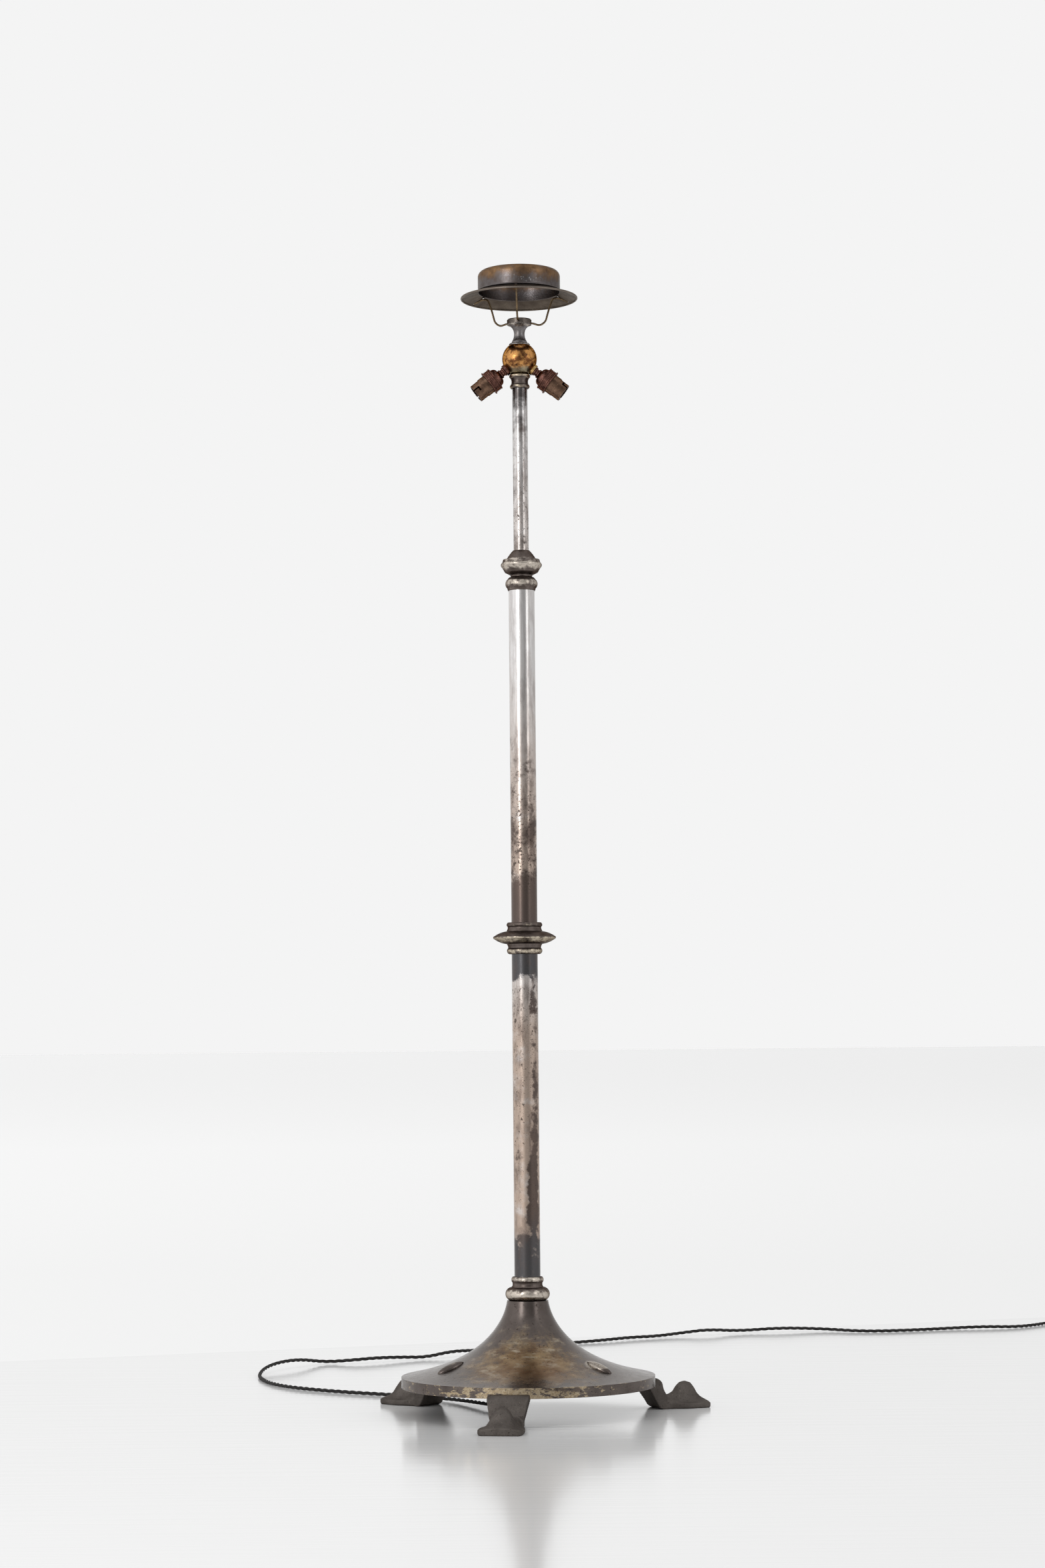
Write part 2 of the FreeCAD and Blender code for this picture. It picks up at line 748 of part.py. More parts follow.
def carrier_arm():
    """One wire arm, from its socket in the hub up to the brim, its end let into the brim's slot."""
    slope = atan2(brim_drop, brim_radius - gallery_radius)
    under = (gallery_wall + arm_wire) / cos(slope) + 0.1
    shoulder = gallery_radius + 1.2
    tip = brim_radius - arm_tip_inset
    rise = brim_height(shoulder) - under - hub_middle
    span = shoulder - hub_radius
    route = (
        (hub_radius - arm_socket, 0),
        (hub_radius + 5.0, 0),
        (hub_radius + 0.36 * span, -2.4),
        (hub_radius + 0.58 * span, 0.10 * rise),
        (hub_radius + 0.70 * span, 0.54 * rise),
        (hub_radius + 0.85 * span, 0.95 * rise),
        (shoulder + 3.4, rise + 0.1),
        (tip, brim_height(tip) - gallery_wall / 2 - hub_middle),
    )
    points = [Vector(radius, 0, hub_middle + height) for radius, height in route]
    return round_bar(points, arm_wire)[0]


def gallery_crown():
    """The upright wall with its in-turned shoulder; it stands on the inner edge of the brim."""
    bend_centre = gallery_radius - crown_shoulder
    inner_bend = crown_shoulder - gallery_wall
    inner = gallery_radius - gallery_wall
    top = gallery_base + crown_wall_height
    diagonal = sin(radians(45))
    outline = Outline(inner, gallery_base)
    outline.line(gallery_radius, gallery_base)
    outline.line(gallery_radius, top)
    outline.arc((bend_centre + crown_shoulder * diagonal, top + crown_shoulder * diagonal),
                (bend_centre, top + crown_shoulder))
    outline.line(bend_centre - crown_lip, top + crown_shoulder)
    outline.line(bend_centre - crown_lip, top + inner_bend)
    outline.line(bend_centre, top + inner_bend)
    outline.arc((bend_centre + inner_bend * diagonal, top + inner_bend * diagonal), (inner, top))
    return outline.turned()


def gallery_brim():
    """The sloping brim with its rolled edge, slotted where the end of each arm lies in it."""
    thick = gallery_wall / cos(atan2(brim_drop, brim_radius - gallery_radius))
    inner = gallery_radius - gallery_wall
    foot_height = gallery_base - brim_drop
    outline = Outline(inner, gallery_base)
    outline.line(gallery_radius, gallery_base)
    outline.line(brim_radius, foot_height)
    outline.line(brim_radius, foot_height - thick)
    outline.line(inner, brim_height(inner) - thick)
    roll = Part.makeTorus(brim_radius - brim_roll * 0.4, brim_roll, Vector(0, 0, foot_height - thick + 0.5))
    brim = outline.turned().fuse(roll)
    half_width = arm_wire + seat_gap
    for angle in arm_angles:
        slot = box((gallery_radius + slot_inset, brim_radius - slot_end),
                   (-half_width, half_width), (foot_height - 10, gallery_base + 1))
        brim = brim.cut(turned_to(slot, angle))
    return brim


# lampholders

def on_holder_axis(shape, side):
    """Moves a shape drawn along +Z from the origin to a lampholder's axis; side is -1 left, 1 right."""
    direction = Vector(side * cos(radians(holder_tilt)), 0, -sin(radians(holder_tilt)))
    turn = FreeCAD.Rotation(Vector(0, 0, 1), direction)
    placed = shape.copy()
    placed.rotate(Vector(0, 0, 0), Vector(0, 0, 1), side * holder_turns[side])
    placed.transformShape(FreeCAD.Placement(Vector(0, 0, ball_height), turn).toMatrix())
    return placed


def lock_ring():
    start = ball_radius - 2.0
    ring = tube(lock_ring_radius, thread_radius + fit_gap, start, lock_ring_end)
    return ring.cut(Part.makeSphere(ball_radius))


def holder_nipple():
    thread = cylinder(thread_radius, ball_radius - ball_wall - 2.5, nipple_end)
    collar = cylinder(nipple_collar_radius, lock_ring_end, nipple_collar_end)
    return thread.fuse(collar).cut(cylinder(lead_hole, 0, nipple_end + 1)).removeSplitter()


def holder_cap():
    start = nipple_collar_end
    edge = holder_cap_radius
    inner = edge - holder_cap_wall
    outline = Outline(thread_radius + fit_gap, start)
    outline.line(7.4, start)
    outline.arc((edge - 2.9, start + 2.0), (edge - 1.2, start + 4.6))
    outline.line(edge - 0.5, start + 7.0)
    outline.line(edge, shade_ring_start)
    outline.line(edge, holder_cap_end)
    outline.line(inner, holder_cap_end)
    outline.line(inner, start + 7.0)
    outline.line(inner - 2.2, start + 3.0)
    outline.line(6.8, start + 1.6)
    outline.line(thread_radius + fit_gap, start + 1.6)
    return outline.turned()


def shade_ring():
    """The ridged ring nut that clamps a small shade against the barrel."""
    ridges = 3
    pitch = (shade_ring_end - shade_ring_start) / ridges
    valley = shade_ring_radius - 1.3
    bore = barrel_thread_radius + 0.07
    outline = Outline(bore, shade_ring_start)
    outline.line(valley, shade_ring_start)
    for ridge in range(ridges):
        start = shade_ring_start + ridge * pitch
        outline.arc((shade_ring_radius, start + pitch / 2), (valley, start + pitch))
    outline.line(bore, shade_ring_end)
    return outline.turned()


def bayonet_slots():
    """Two opposite slots, each running in from the mouth and hooking round clockwise, seen into it."""
    reach = (0, barrel_radius + 2)
    half = bayonet_slot / 2
    bottom = barrel_end - bayonet_depth
    entry = box(reach, (-half, half), (bottom, barrel_end + 1))
    hook = box(reach, (-half - bayonet_hook, half), (bottom, bottom + bayonet_slot))
    slot = entry.fuse(hook)
    return slot, turned_to(slot, 180)


def barrel():
    neck = holder_cap_radius - holder_cap_wall - fit_gap
    outline = Outline(neck - 1.4, holder_cap_end - 5.0)
    outline.line(neck, holder_cap_end - 5.0)
    outline.line(neck, holder_cap_end)
    outline.line(barrel_thread_radius, holder_cap_end)
    outline.line(barrel_thread_radius, shade_ring_end + 0.3)
    outline.line(barrel_thread_radius - 0.5, shade_ring_end + 0.3)
    outline.line(barrel_thread_radius - 0.5, shade_ring_end + 0.3 + thread_relief)
    outline.line(barrel_thread_radius, shade_ring_end + 0.3 + thread_relief)
    outline.line(barrel_thread_radius, barrel_thread_end)
    outline.line(barrel_radius, barrel_thread_end + 0.8)
    outline.line(barrel_radius, barrel_end - 0.6)
    outline.line(barrel_radius - 0.6, barrel_end)
    outline.line(barrel_bore, barrel_end)
    outline.line(barrel_bore, mouth_start)
    outline.line(seat_radius, mouth_start)
    outline.line(seat_radius, ledge_end)
    outline.line(ledge_radius, ledge_end)
    outline.line(ledge_radius, holder_cap_end)
    outline.line(neck - 1.4, holder_cap_end)
    shell = outline.turned()
    for cutter in bayonet_slots():
        shell = shell.cut(cutter)
    return shell


def plunger_places():
    return [(0, -plunger_pitch / 2), (0, plunger_pitch / 2)]


def insulator():
    block = cylinder(seat_radius - fit_gap, ledge_end, insulator_end)
    for x, y in plunger_places():
        block = block.cut(cylinder(plunger_radius + running_gap, bore_floor, insulator_end + 1, x, y))
        block = block.cut(cylinder(lead_radius + 0.1, ledge_end - 1, bore_floor + 1, x, y))
    return block


def plunger(place):
    x, y = place
    rod = cylinder(plunger_radius, plunger_start, plunger_tip - 1.0, x, y)
    dome = Part.makeCone(plunger_radius, plunger_radius - 0.9, 1.0, Vector(x, y, plunger_tip - 1.0))
    hollow = cylinder(plunger_radius - plunger_wall, plunger_start - 1, plunger_tip - 2.5, x, y)
    return rod.fuse(dome).cut(hollow)


def plunger_springs():
    outer = plunger_radius - plunger_wall - 0.1
    length_end = plunger_tip - 2.5 - plunger_travel - 0.2
    springs = []
    for x, y in plunger_places():
        coil = cylinder(outer, bore_floor, length_end, x, y)
        springs.append(coil.cut(cylinder(outer - spring_wall, bore_floor - 1, length_end + 1, x, y)))
    return Part.makeCompound(springs)


def holder_leads():
    """Two insulated wires, from the fork in the ball through the nipple to the contacts."""
    leads = []
    for x, y in plunger_places():
        half = lead_pitch / 2 if y > 0 else -lead_pitch / 2
        points = [Vector(0, half, fork_height), Vector(0, half, nipple_end + 2.0),
                  Vector(0, y, ledge_end - 3.0), Vector(0, y, bore_floor)]
        leads.append(round_bar(points, lead_radius)[0])
    return Part.makeCompound(leads)


# flex and plug

def cord_route():
    """Where the flex runs, as (x, y, lift off the floor); the first points drop from the base."""
    drop = [(0, 0, 52.0), (0, 0, 27.5), (-14, 17, 13.0), (-34, 42, 8.4)]
    floor_route = [
        (-64, 83, 4.5), (-87, 134, 3), (-118, 190, 1), (-163, 237, 0), (-221, 277, 0), (-279, 314, 0),
        (-332, 356, 0), (-378, 404, 0), (-410, 462, 0), (-429, 526, 0), (-441, 594, 0), (-436, 662, 6),
        (-416, 720, 10), (-384, 768, 10), (-346, 825, 0), (-299, 810, 4), (-258, 838, 5), (-215, 869, 3),
        (-175, 885, 1), (-134, 924, 7), (-97, 964, 5), (-58, 1015, 0), (-17, 1065, 0), (31, 1110, 0),
        (85, 1160, 0), (136, 1190, 1), (186, 1238, 1.5), (233, 1262, 1), (281, 1304, 3), (330, 1321, 7.5),
        (390, 1354, 1.5), (464, 1373, 5), (547, 1389, 1.5), (615, 1341, 0), (700, 1354, 0), (774, 1388, 0),
        (846, 1405, 1.5), (912, 1409, 0), (964, 1465, 0), (1003, 1533, 0), (1054, 1585, 0), (1114, 1610, 1),
        (1162, 1620, 4.8),
    ]
    resting = cord_radius + floor_gap
    points = [Vector(x, y, z) for x, y, z in drop]
    points[0].z = relief_bottom
    points += [Vector(x, y, resting + lift) for x, y, lift in floor_route]
    end = points[-1]
    points.append(Vector(end.x + 34, end.y + 5.2, end.z))
    return points


def mains_cord():
    points = cord_route()
    cord, length, radii = round_bar(points, cord_radius)
    expected = pi * cord_radius ** 2 * length
    print("mains cord: length %.1f mm, volume ratio %.5f" % (length, cord.Volume / expected))
    print("mains cord radii:", " ".join("%.0f" % radius for radius in radii))
    runs = [(after - before).Length for before, after in zip(points, points[1:])]
    print("mains cord runs:", " ".join("%.0f" % run for run in runs))
    return cord


def plug_outline(inset, bottom, height):
    """The plug's body from above: the cord enters at x = 0, the corners there are cut back."""
    half = plug_width / 2 - inset
    nose = plug_nose_width / 2 - inset
    end = plug_length - inset
    corner = plug_corner
    points = [
        Vector(inset, -nose, bottom), Vector(end * 0.42, -half, bottom),
        Vector(end - corner, -half, bottom), Vector(end, -half + corner, bottom),
        Vector(end, half - corner, bottom), Vector(end - corner, half, bottom),
        Vector(end * 0.42, half, bottom), Vector(inset, nose, bottom),
    ]
    return Part.Face(Part.makePolygon(points + points[:1])).extrude(Vector(0, 0, height))


def on_plug(shape):
    """Moves a shape drawn with the cord's entry at the origin to the end of the flex."""
    before, end = cord_route()[-2:]
    heading = degrees(atan2(end.y - before.y, end.x - before.x))
    placed = shape.copy()
    placed.rotate(Vector(0, 0, 0), Vector(0, 0, 1), heading)
    placed.translate(Vector(end.x, end.y, floor_gap))
    return placed


def plug_cover():
    cover = plug_outline(0, 0, plug_cover_height)
    bottom_edges = [edge for edge in cover.Edges if edge.BoundBox.ZMax < 0.01]
    cover = cover.makeFillet(2.0, bottom_edges)
    cavity = plug_outline(2.5, 2.5, plug_cover_height)
    return cover.cut(cavity)


def pin_places():
    """Middles of the pins: earth first, then the two line pins."""
    earth_x = plug_length - 12.0
    line_x = earth_x - earth_pin_offset
    return [(earth_x, 0.0, earth_pin), (line_x, -line_pin_pitch / 2, line_pin),
            (line_x, line_pin_pitch / 2, line_pin)]


def plug_base():
    base = plug_outline(0, plug_cover_height, plug_base_height)
    top = plug_cover_height + plug_base_height
    for x, y, (width, reach) in pin_places():
        base = base.cut(pin_body(x, y, width + 0.1, pin_thickness + 0.1, plug_cover_height - 1, top + 1))
    middle = pin_places()[0][0] - earth_pin_offset / 2
    base = base.cut(cylinder(plug_screw_radius + 0.1, top - 2.5, top + 1, middle))
    return base.cut(cylinder(1.6, plug_cover_height - 1, top, middle))


def pin_body(x, y, width, thickness, bottom, top):
    """A flat pin; the earth pin's width lies along the plug, a line pin's across it."""
    if y == 0.0:
        return box((x - width / 2, x + width / 2), (-thickness / 2, thickness / 2), (bottom, top))
    return box((x - thickness / 2, x + thickness / 2), (y - width / 2, y + width / 2), (bottom, top))


def plug_pins():
    top = plug_cover_height + plug_base_height
    pins = [pin_body(x, y, width, pin_thickness, plug_cover_height, top + reach)
            for x, y, (width, reach) in pin_places()]
    return Part.makeCompound(pins)


def plug_screw():
    top = plug_cover_height + plug_base_height
    middle = pin_places()[0][0] - earth_pin_offset / 2
    head = cylinder(plug_screw_radius, top - 2.5, top - 0.3, middle)
    shank = cylinder(1.5, plug_cover_height, top - 2.5, middle)
    slot = box((middle - 5, middle + 5), (-0.5, 0.5), (top - 1.2, top + 1))
    return head.fuse(shank).cut(slot)


# assembly

def base_parts():
    parts = {
        "base_shell": base_shell(),
        "ballast_weight": ballast_weight(),
        "base_spigot": tube(spigot_radius, spigot_bore, spigot_bottom, spigot_top),
        "base_washer": tube(washer_radius, spigot_radius + fit_gap,
                            ballast_recess_top - washer_thickness, ballast_recess_top),
        "base_nut": hexagon_nut(ballast_recess_top - washer_thickness - nut_height),
        "cord_bush": cord_bush(),
        "strain_relief": strain_relief(),
    }
    for number, angle in enumerate(foot_angles, 1):
        parts["foot_%d" % number] = turned_to(foot(), angle)
    parts["foot_screws"] = Part.makeCompound([turned_to(foot_screw(), angle) for angle in foot_angles])
    return parts


def column_parts():
    return {
        "base_collar": base_collar(),
        "column_plug": tube(column_bore - fit_gap, spigot_radius + fit_gap, column_base, spigot_top),
        "lower_column": tube(column_radius, column_bore, column_base, lower_column_top),
        "middle_collar": middle_collar(),
        "upper_column": tube(column_radius, column_bore, upper_column_base, upper_column_top),
        "column_cap": column_cap(),
        "clamp_nut": clamp_nut(),
        "clamp_collet": clamp_collet(),
    }


def stem_parts():
    return {
        "stem": stem(),
        "stem_guide": stem_guide(),
        "guide_clip": guide_clip(),
        "stem_nipple": stem_nipple(),
        "stem_collar": stem_collar(),
        "cluster_ball": cluster_ball(),
        "ball_neck": ball_neck(),
    }


def carrier_parts():
    parts = {
        "carrier_hub": carrier_hub(),
        "hub_screw": hub_screw(),
        "gallery_crown": gallery_crown(),
        "gallery_brim": gallery_brim(),
    }
    for number, angle in enumerate(arm_angles, 1):
        parts["carrier_arm_%d" % number] = turned_to(carrier_arm(), angle)
    return parts


def holder_parts():
    first, second = plunger_places()
    pieces = {
        "lock_ring": lock_ring(),
        "holder_nipple": holder_nipple(),
        "holder_cap": holder_cap(),
        "shade_ring": shade_ring(),
        "holder_barrel": barrel(),
        "insulator": insulator(),
        "plunger_lower": plunger(first),
        "plunger_upper": plunger(second),
        "plunger_springs": plunger_springs(),
        "holder_leads": holder_leads(),
    }
    parts = {}
    for word, side in (("left", -1), ("right", 1)):
        for name, shape in pieces.items():
            parts["%s_%s" % (word, name)] = on_holder_axis(shape, side)
    return parts


def flex_parts():
    lead_reach = lead_pitch / 2 + lead_radius + seat_gap
    fork_drop = (flex_radius * sin(radians(holder_tilt)) + lead_reach) / cos(radians(holder_tilt))
    flex_top = ball_height - fork_drop
    return {
        "column_flex": cylinder(flex_radius, relief_bottom, stem_bottom),
        "stem_flex": cylinder(flex_radius, stem_bottom, flex_top),
        "mains_cord": mains_cord(),
        "plug_cover": on_plug(plug_cover()),
        "plug_base": on_plug(plug_base()),
        "plug_pins": on_plug(plug_pins()),
        "plug_screw": on_plug(plug_screw()),
    }


def main():
    os.makedirs("parts", exist_ok=True)
    parts = {}
    for group in (base_parts, column_parts, stem_parts, carrier_parts, holder_parts, flex_parts):
        parts.update(group())
    for name, shape in parts.items():
        shape.exportStep("parts/%s.step" % name)
    print("%d nodes" % len(parts))


main()
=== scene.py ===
from math import cos, pi, radians, sin

import bmesh
import bpy
from mathutils import Matrix, Vector


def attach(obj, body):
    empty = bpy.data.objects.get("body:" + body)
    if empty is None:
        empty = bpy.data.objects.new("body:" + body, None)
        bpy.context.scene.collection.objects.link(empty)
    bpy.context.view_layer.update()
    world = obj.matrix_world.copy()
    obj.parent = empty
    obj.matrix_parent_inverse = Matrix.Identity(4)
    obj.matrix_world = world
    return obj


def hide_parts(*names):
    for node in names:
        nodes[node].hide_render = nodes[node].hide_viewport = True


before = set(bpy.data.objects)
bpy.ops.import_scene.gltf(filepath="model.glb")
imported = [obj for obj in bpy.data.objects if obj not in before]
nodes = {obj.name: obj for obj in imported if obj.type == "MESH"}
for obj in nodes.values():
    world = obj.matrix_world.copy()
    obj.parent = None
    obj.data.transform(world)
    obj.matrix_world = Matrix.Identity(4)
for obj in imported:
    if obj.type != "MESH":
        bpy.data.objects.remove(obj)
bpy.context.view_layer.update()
mm = 0.001
ballHeight = 1.5479      # middle of the cluster ball
print("frame:", len(nodes), "nodes")


# camera

shot = {
    "distance": 5.225,   # in front of the column, metres
    "height": 0.565,
    "lens": 81.77,       # millimetres
    "sensor": 36,
    "roll": -0.496,      # degrees
    "shiftX": -0.0018,
    "shiftY": 0.1565,
}


def setCamera():
    data = bpy.data.cameras.new("camera")
    data.sensor_width = shot["sensor"]
    data.lens = shot["lens"]
    data.shift_x = shot["shiftX"]
    data.shift_y = shot["shiftY"]
    camera = bpy.data.objects.new("camera", data)
    bpy.context.scene.collection.objects.link(camera)
    stand = Matrix.Translation((0, -shot["distance"], shot["height"]))
    level = Matrix.Rotation(radians(90), 4, "X")
    camera.matrix_world = stand @ level @ Matrix.Rotation(radians(shot["roll"]), 4, "Z")
    bpy.context.scene.camera = camera


setCamera()
print("camera: set")


# shared modelling helpers

def placed(name, mesh, body="base_and_column"):
    piece = bpy.data.objects.new(name, mesh)
    bpy.context.scene.collection.objects.link(piece)
    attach(piece, body)
    return piece


def smoothed(name, bm, sharp=35):
    # edges that turn by more than sharp degrees stay crisp
    for face in bm.faces:
        face.smooth = True
    for edge in bm.edges:
        edge.smooth = edge.calc_face_angle(0) < radians(sharp)
    mesh = bpy.data.meshes.new(name)
    bm.to_mesh(mesh)
    bm.free()
    return mesh


def turnedBmesh(profile, steps, rounding=0.0):
    # profile: (radius, height) in millimetres, a closed outline turned about the upright axis
    bm = bmesh.new()
    corners = [bm.verts.new((radius * mm, 0, height * mm)) for radius, height in profile]
    for first, second in zip(corners, corners[1:] + corners[:1]):
        bm.edges.new((first, second))
    if rounding:
        bmesh.ops.bevel(bm, geom=bm.verts[:], offset=rounding * mm, offset_type="OFFSET", segments=3,
                        profile=0.5, affect="VERTICES", material=-1)
    bmesh.ops.spin(bm, geom=bm.verts[:] + bm.edges[:], cent=(0, 0, 0), axis=(0, 0, 1),
                   angle=2 * pi, steps=steps, use_merge=True)
    bmesh.ops.remove_doubles(bm, verts=bm.verts, dist=1e-7)
    bmesh.ops.recalc_face_normals(bm, faces=bm.faces)
    return bm


# flex

flex = {
    "diameter": 0.006,
    "length": 2.89,
    "strands": 3,
    "strandDiameter": 0.00276,
    "lay": 0.042,        # one full twist of the strands
    "step": 0.0026,      # between points along it
    "lift": 0.0031,      # middle of the flex where it lies flat
}
# straight down out of the base
flexDrop = [(0, 0, 0.052), (0, 0, 0.0275), (-0.014, 0.017, 0.013), (-0.034, 0.042, 0.0084)]
# then along the floor: x, y and how far it stands off the floor
flexRoute = [
    (-0.064, 0.083, 0.0045), (-0.087, 0.134, 0.003), (-0.118, 0.19, 0.001), (-0.163, 0.237, 0),
    (-0.221, 0.277, 0), (-0.279, 0.314, 0), (-0.332, 0.356, 0), (-0.378, 0.404, 0),
    (-0.41, 0.462, 0), (-0.429, 0.526, 0), (-0.441, 0.594, 0), (-0.436, 0.662, 0.006),
    (-0.416, 0.72, 0.01), (-0.384, 0.768, 0.01), (-0.346, 0.825, 0), (-0.299, 0.81, 0.004),
    (-0.258, 0.838, 0.005), (-0.215, 0.869, 0.003), (-0.175, 0.885, 0.001), (-0.134, 0.924, 0.007),
    (-0.097, 0.964, 0.005), (-0.058, 1.015, 0), (-0.017, 1.065, 0), (0.031, 1.11, 0),
    (0.085, 1.16, 0), (0.136, 1.19, 0.001), (0.186, 1.238, 0.0015), (0.233, 1.262, 0.001),
    (0.281, 1.304, 0.003), (0.33, 1.321, 0.0075), (0.39, 1.354, 0.0015), (0.464, 1.373, 0.005),
    (0.547, 1.389, 0.0015), (0.615, 1.341, 0), (0.7, 1.354, 0), (0.774, 1.388, 0),
    (0.846, 1.405, 0.0015), (0.912, 1.409, 0), (0.964, 1.465, 0), (1.003, 1.533, 0),
    (1.054, 1.585, 0), (1.114, 1.61, 0.001), (1.162, 1.62, 0.0048), (1.196, 1.6252, 0.0048),
]


def flexPoints():
    lying = [(x, y, flex["lift"] + lift) for x, y, lift in flexRoute]
    return flexDrop + lying


def splineCurve(name, points):
    curve = bpy.data.curves.new(name, "CURVE")
    curve.dimensions = "3D"
    curve.resolution_u = 16
    spline = curve.splines.new("NURBS")
    spline.points.add(len(points) - 1)
    for control, point in zip(spline.points, points):
        control.co = (*point, 1)
    spline.order_u = 3
    spline.use_endpoint_u = True
    return curve


def pointsAlong(curve, step):
    # the spline's own line, then points on it one step apart
    guide = bpy.data.objects.new("guide", curve)
    mesh = bpy.data.meshes.new_from_object(guide)
    line = [vert.co.copy() for vert in mesh.vertices]
    bpy.data.objects.remove(guide)
    bpy.data.meshes.remove(mesh)
    spaced = [line[0]]
    spare = step
    for before, after in zip(line, line[1:]):
        run = (after - before).length
        while spare <= run:
            spaced.append(before.lerp(after, spare / run))
            spare += step
        spare -= run
    spaced.append(line[-1])
    return spaced


def strandLines(points):
    count = flex["strands"]
    radius = (flex["diameter"] - flex["strandDiameter"]) / 2
    side = Vector((1, 0, 0))
    lines = [[] for _ in range(count)]
    for index, point in enumerate(points):
        ahead = points[min(index + 1, len(points) - 1)] - points[max(index - 1, 0)]
        ahead.normalize()
        side = (side - ahead * side.dot(ahead)).normalized()
        across = ahead.cross(side)
        for strand, line in enumerate(lines):
            turn = 2 * pi * (index * flex["step"] / flex["lay"] + strand / count)
            line.append(point + (side * cos(turn) + across * sin(turn)) * radius)
    return lines


def makeFlex():
    centre = pointsAlong(splineCurve("flexRoute", flexPoints()), flex["step"])
    curve = bpy.data.curves.new("flexStrands", "CURVE")
    curve.dimensions = "3D"
    curve.bevel_depth = flex["strandDiameter"] / 2
    curve.bevel_resolution = 2
    curve.use_fill_caps = True
    for line in strandLines(centre):
        spline = curve.splines.new("POLY")
        spline.points.add(len(line) - 1)
        for control, point in zip(spline.points, line):
            control.co = (*point, 1)
    twisted = bpy.data.objects.new("flexShape", curve)
    mesh = bpy.data.meshes.new_from_object(twisted)
    bpy.data.objects.remove(twisted)
    for polygon in mesh.polygons:
        polygon.use_smooth = True
    piece = placed("twistedFlex", mesh)
    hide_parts("mains_cord")
    print("flex:", len(centre), "steps,", len(mesh.polygons), "faces")
    return piece


twistedFlex = makeFlex()


# cast feet, with the soft edges of sand casting

feet = {
    "names": ["foot_1", "foot_2", "foot_3"],
    "grain": 0.0010,        # size of the new mesh's faces
    "softening": 7,         # passes over it
}


def makeFeet():
    pieces = []
    for name in feet["names"]:
        bm = bmesh.new()
        bm.from_mesh(nodes[name].data)
        bm.transform(nodes[name].matrix_world)
        bmesh.ops.remove_doubles(bm, verts=bm.verts, dist=1e-6)
        bmesh.ops.recalc_face_normals(bm, faces=bm.faces)
        for face in bm.faces:
            face.smooth = True
        mesh = bpy.data.meshes.new("cast_" + name)
        bm.to_mesh(mesh)
        bm.free()
        piece = placed("cast_" + name, mesh)
        even = piece.modifiers.new("even", "REMESH")
        even.mode = "VOXEL"
        even.voxel_size = feet["grain"]
        even.use_smooth_shade = True
        soft = piece.modifiers.new("soft", "SMOOTH")
        soft.factor = 0.5
        soft.iterations = feet["softening"]
        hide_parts(name)
        pieces.append(piece)
    print("feet:", len(pieces))
    return pieces


castFeet = makeFeet()


# lampholders

holders = {
    "tilt": 38,             # each holder below level, in degrees
    "knurls": 24,           # notches round the ring's flange
    "knurlDepth": 0.55,
    "knurlSteps": 4,        # turning steps to a notch and its tooth
    "flangeRadius": 17.9,   # only what stands out past this is notched
    "rounding": 0.22,       # of every corner of an outline
    "ridges": [48.0, 50.5, 53.0],       # where each ridge of the ring starts
    # outlines along each holder's axis from the ball's centre: radius, distance, in millimetres
    "collar": [(14.45, 45.2), (16.9, 45.2), (17.5, 45.8), (17.5, 46.9), (16.5, 47.5)],
    "ridge": [(16.5, 0.0), (17.2, 0.6), (17.2, 1.3), (16.5, 1.9)],
    "flange": [(16.5, 55.6), (18.5, 56.0), (18.5, 57.1), (18.0, 57.6), (14.45, 57.6)],
    "nipple": [(3.4, 21.4), (5.0, 21.4), (5.0, 27.7), (6.1, 27.7), (6.75, 28.4), (6.75, 29.7), (6.1, 30.4),
               (5.3, 30.8), (5.2, 33.2), (6.0, 33.7), (6.75, 34.4), (6.75, 35.9), (6.1, 36.6), (5.0, 36.9),
               (5.0, 43.0), (3.4, 43.0)],
}


def ontoHolder(bm, side):
    lean = radians(90 + holders["tilt"]) * side
    bm.transform(Matrix.Translation((0, 0, ballHeight)) @ Matrix.Rotation(lean, 4, "Y"))


def ringOutline():
    ridges = [(radius, start + along) for start in holders["ridges"] for radius, along in holders["ridge"]]
    return holders["collar"] + ridges + holders["flange"]


def knurled(bm):
    # half the steps of each knurl are drawn in towards the axis, which leaves a notch and a tooth
    step = 2 * pi / (holders["knurls"] * holders["knurlSteps"])
    for vert in bm.verts:
        spoke = Vector((vert.co.x, vert.co.y))
        place = round(spoke.angle_signed(Vector((1, 0))) / step) % holders["knurlSteps"]
        if spoke.length > holders["flangeRadius"] * mm and place < holders["knurlSteps"] / 2:
            shrink = 1 - holders["knurlDepth"] * mm / spoke.length
            vert.co.x *= shrink
            vert.co.y *= shrink


def makeHolderPieces():
    pieces = []
    steps = holders["knurls"] * holders["knurlSteps"]
    for word, side in (("left", -1), ("right", 1)):
        ring = turnedBmesh(ringOutline(), steps, holders["rounding"])
        knurled(ring)
        nipple = turnedBmesh(holders["nipple"], steps, holders["rounding"])
        for bm, part, body, node in ((ring, "ShadeRing", word + "_shade_ring", word + "_shade_ring"),
                                     (nipple, "Nipple", "stem", word + "_holder_nipple")):
            ontoHolder(bm, side)
            piece = placed(word + part, smoothed(word + part, bm), body)
            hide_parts(node)
            pieces.append(piece)
    print("holder pieces:", len(pieces))
    return pieces


holderPieces = makeHolderPieces()


# solder fillet where the crown stands on the brim

fillet = {
    "outline": [(60.25, 1646.65), (62.8, 1646.72), (61.5, 1647.15), (60.8, 1647.85), (60.42, 1649.3),
                (60.25, 1649.3)],
    "steps": 128,
    "sharp": 60,
}


def makeFillet():
    bm = turnedBmesh(fillet["outline"], fillet["steps"])
    return placed("crownFillet", smoothed("crownFillet", bm, fillet["sharp"]), "stem")


crownFillet = makeFillet()
print("fillet: made")


# finishes

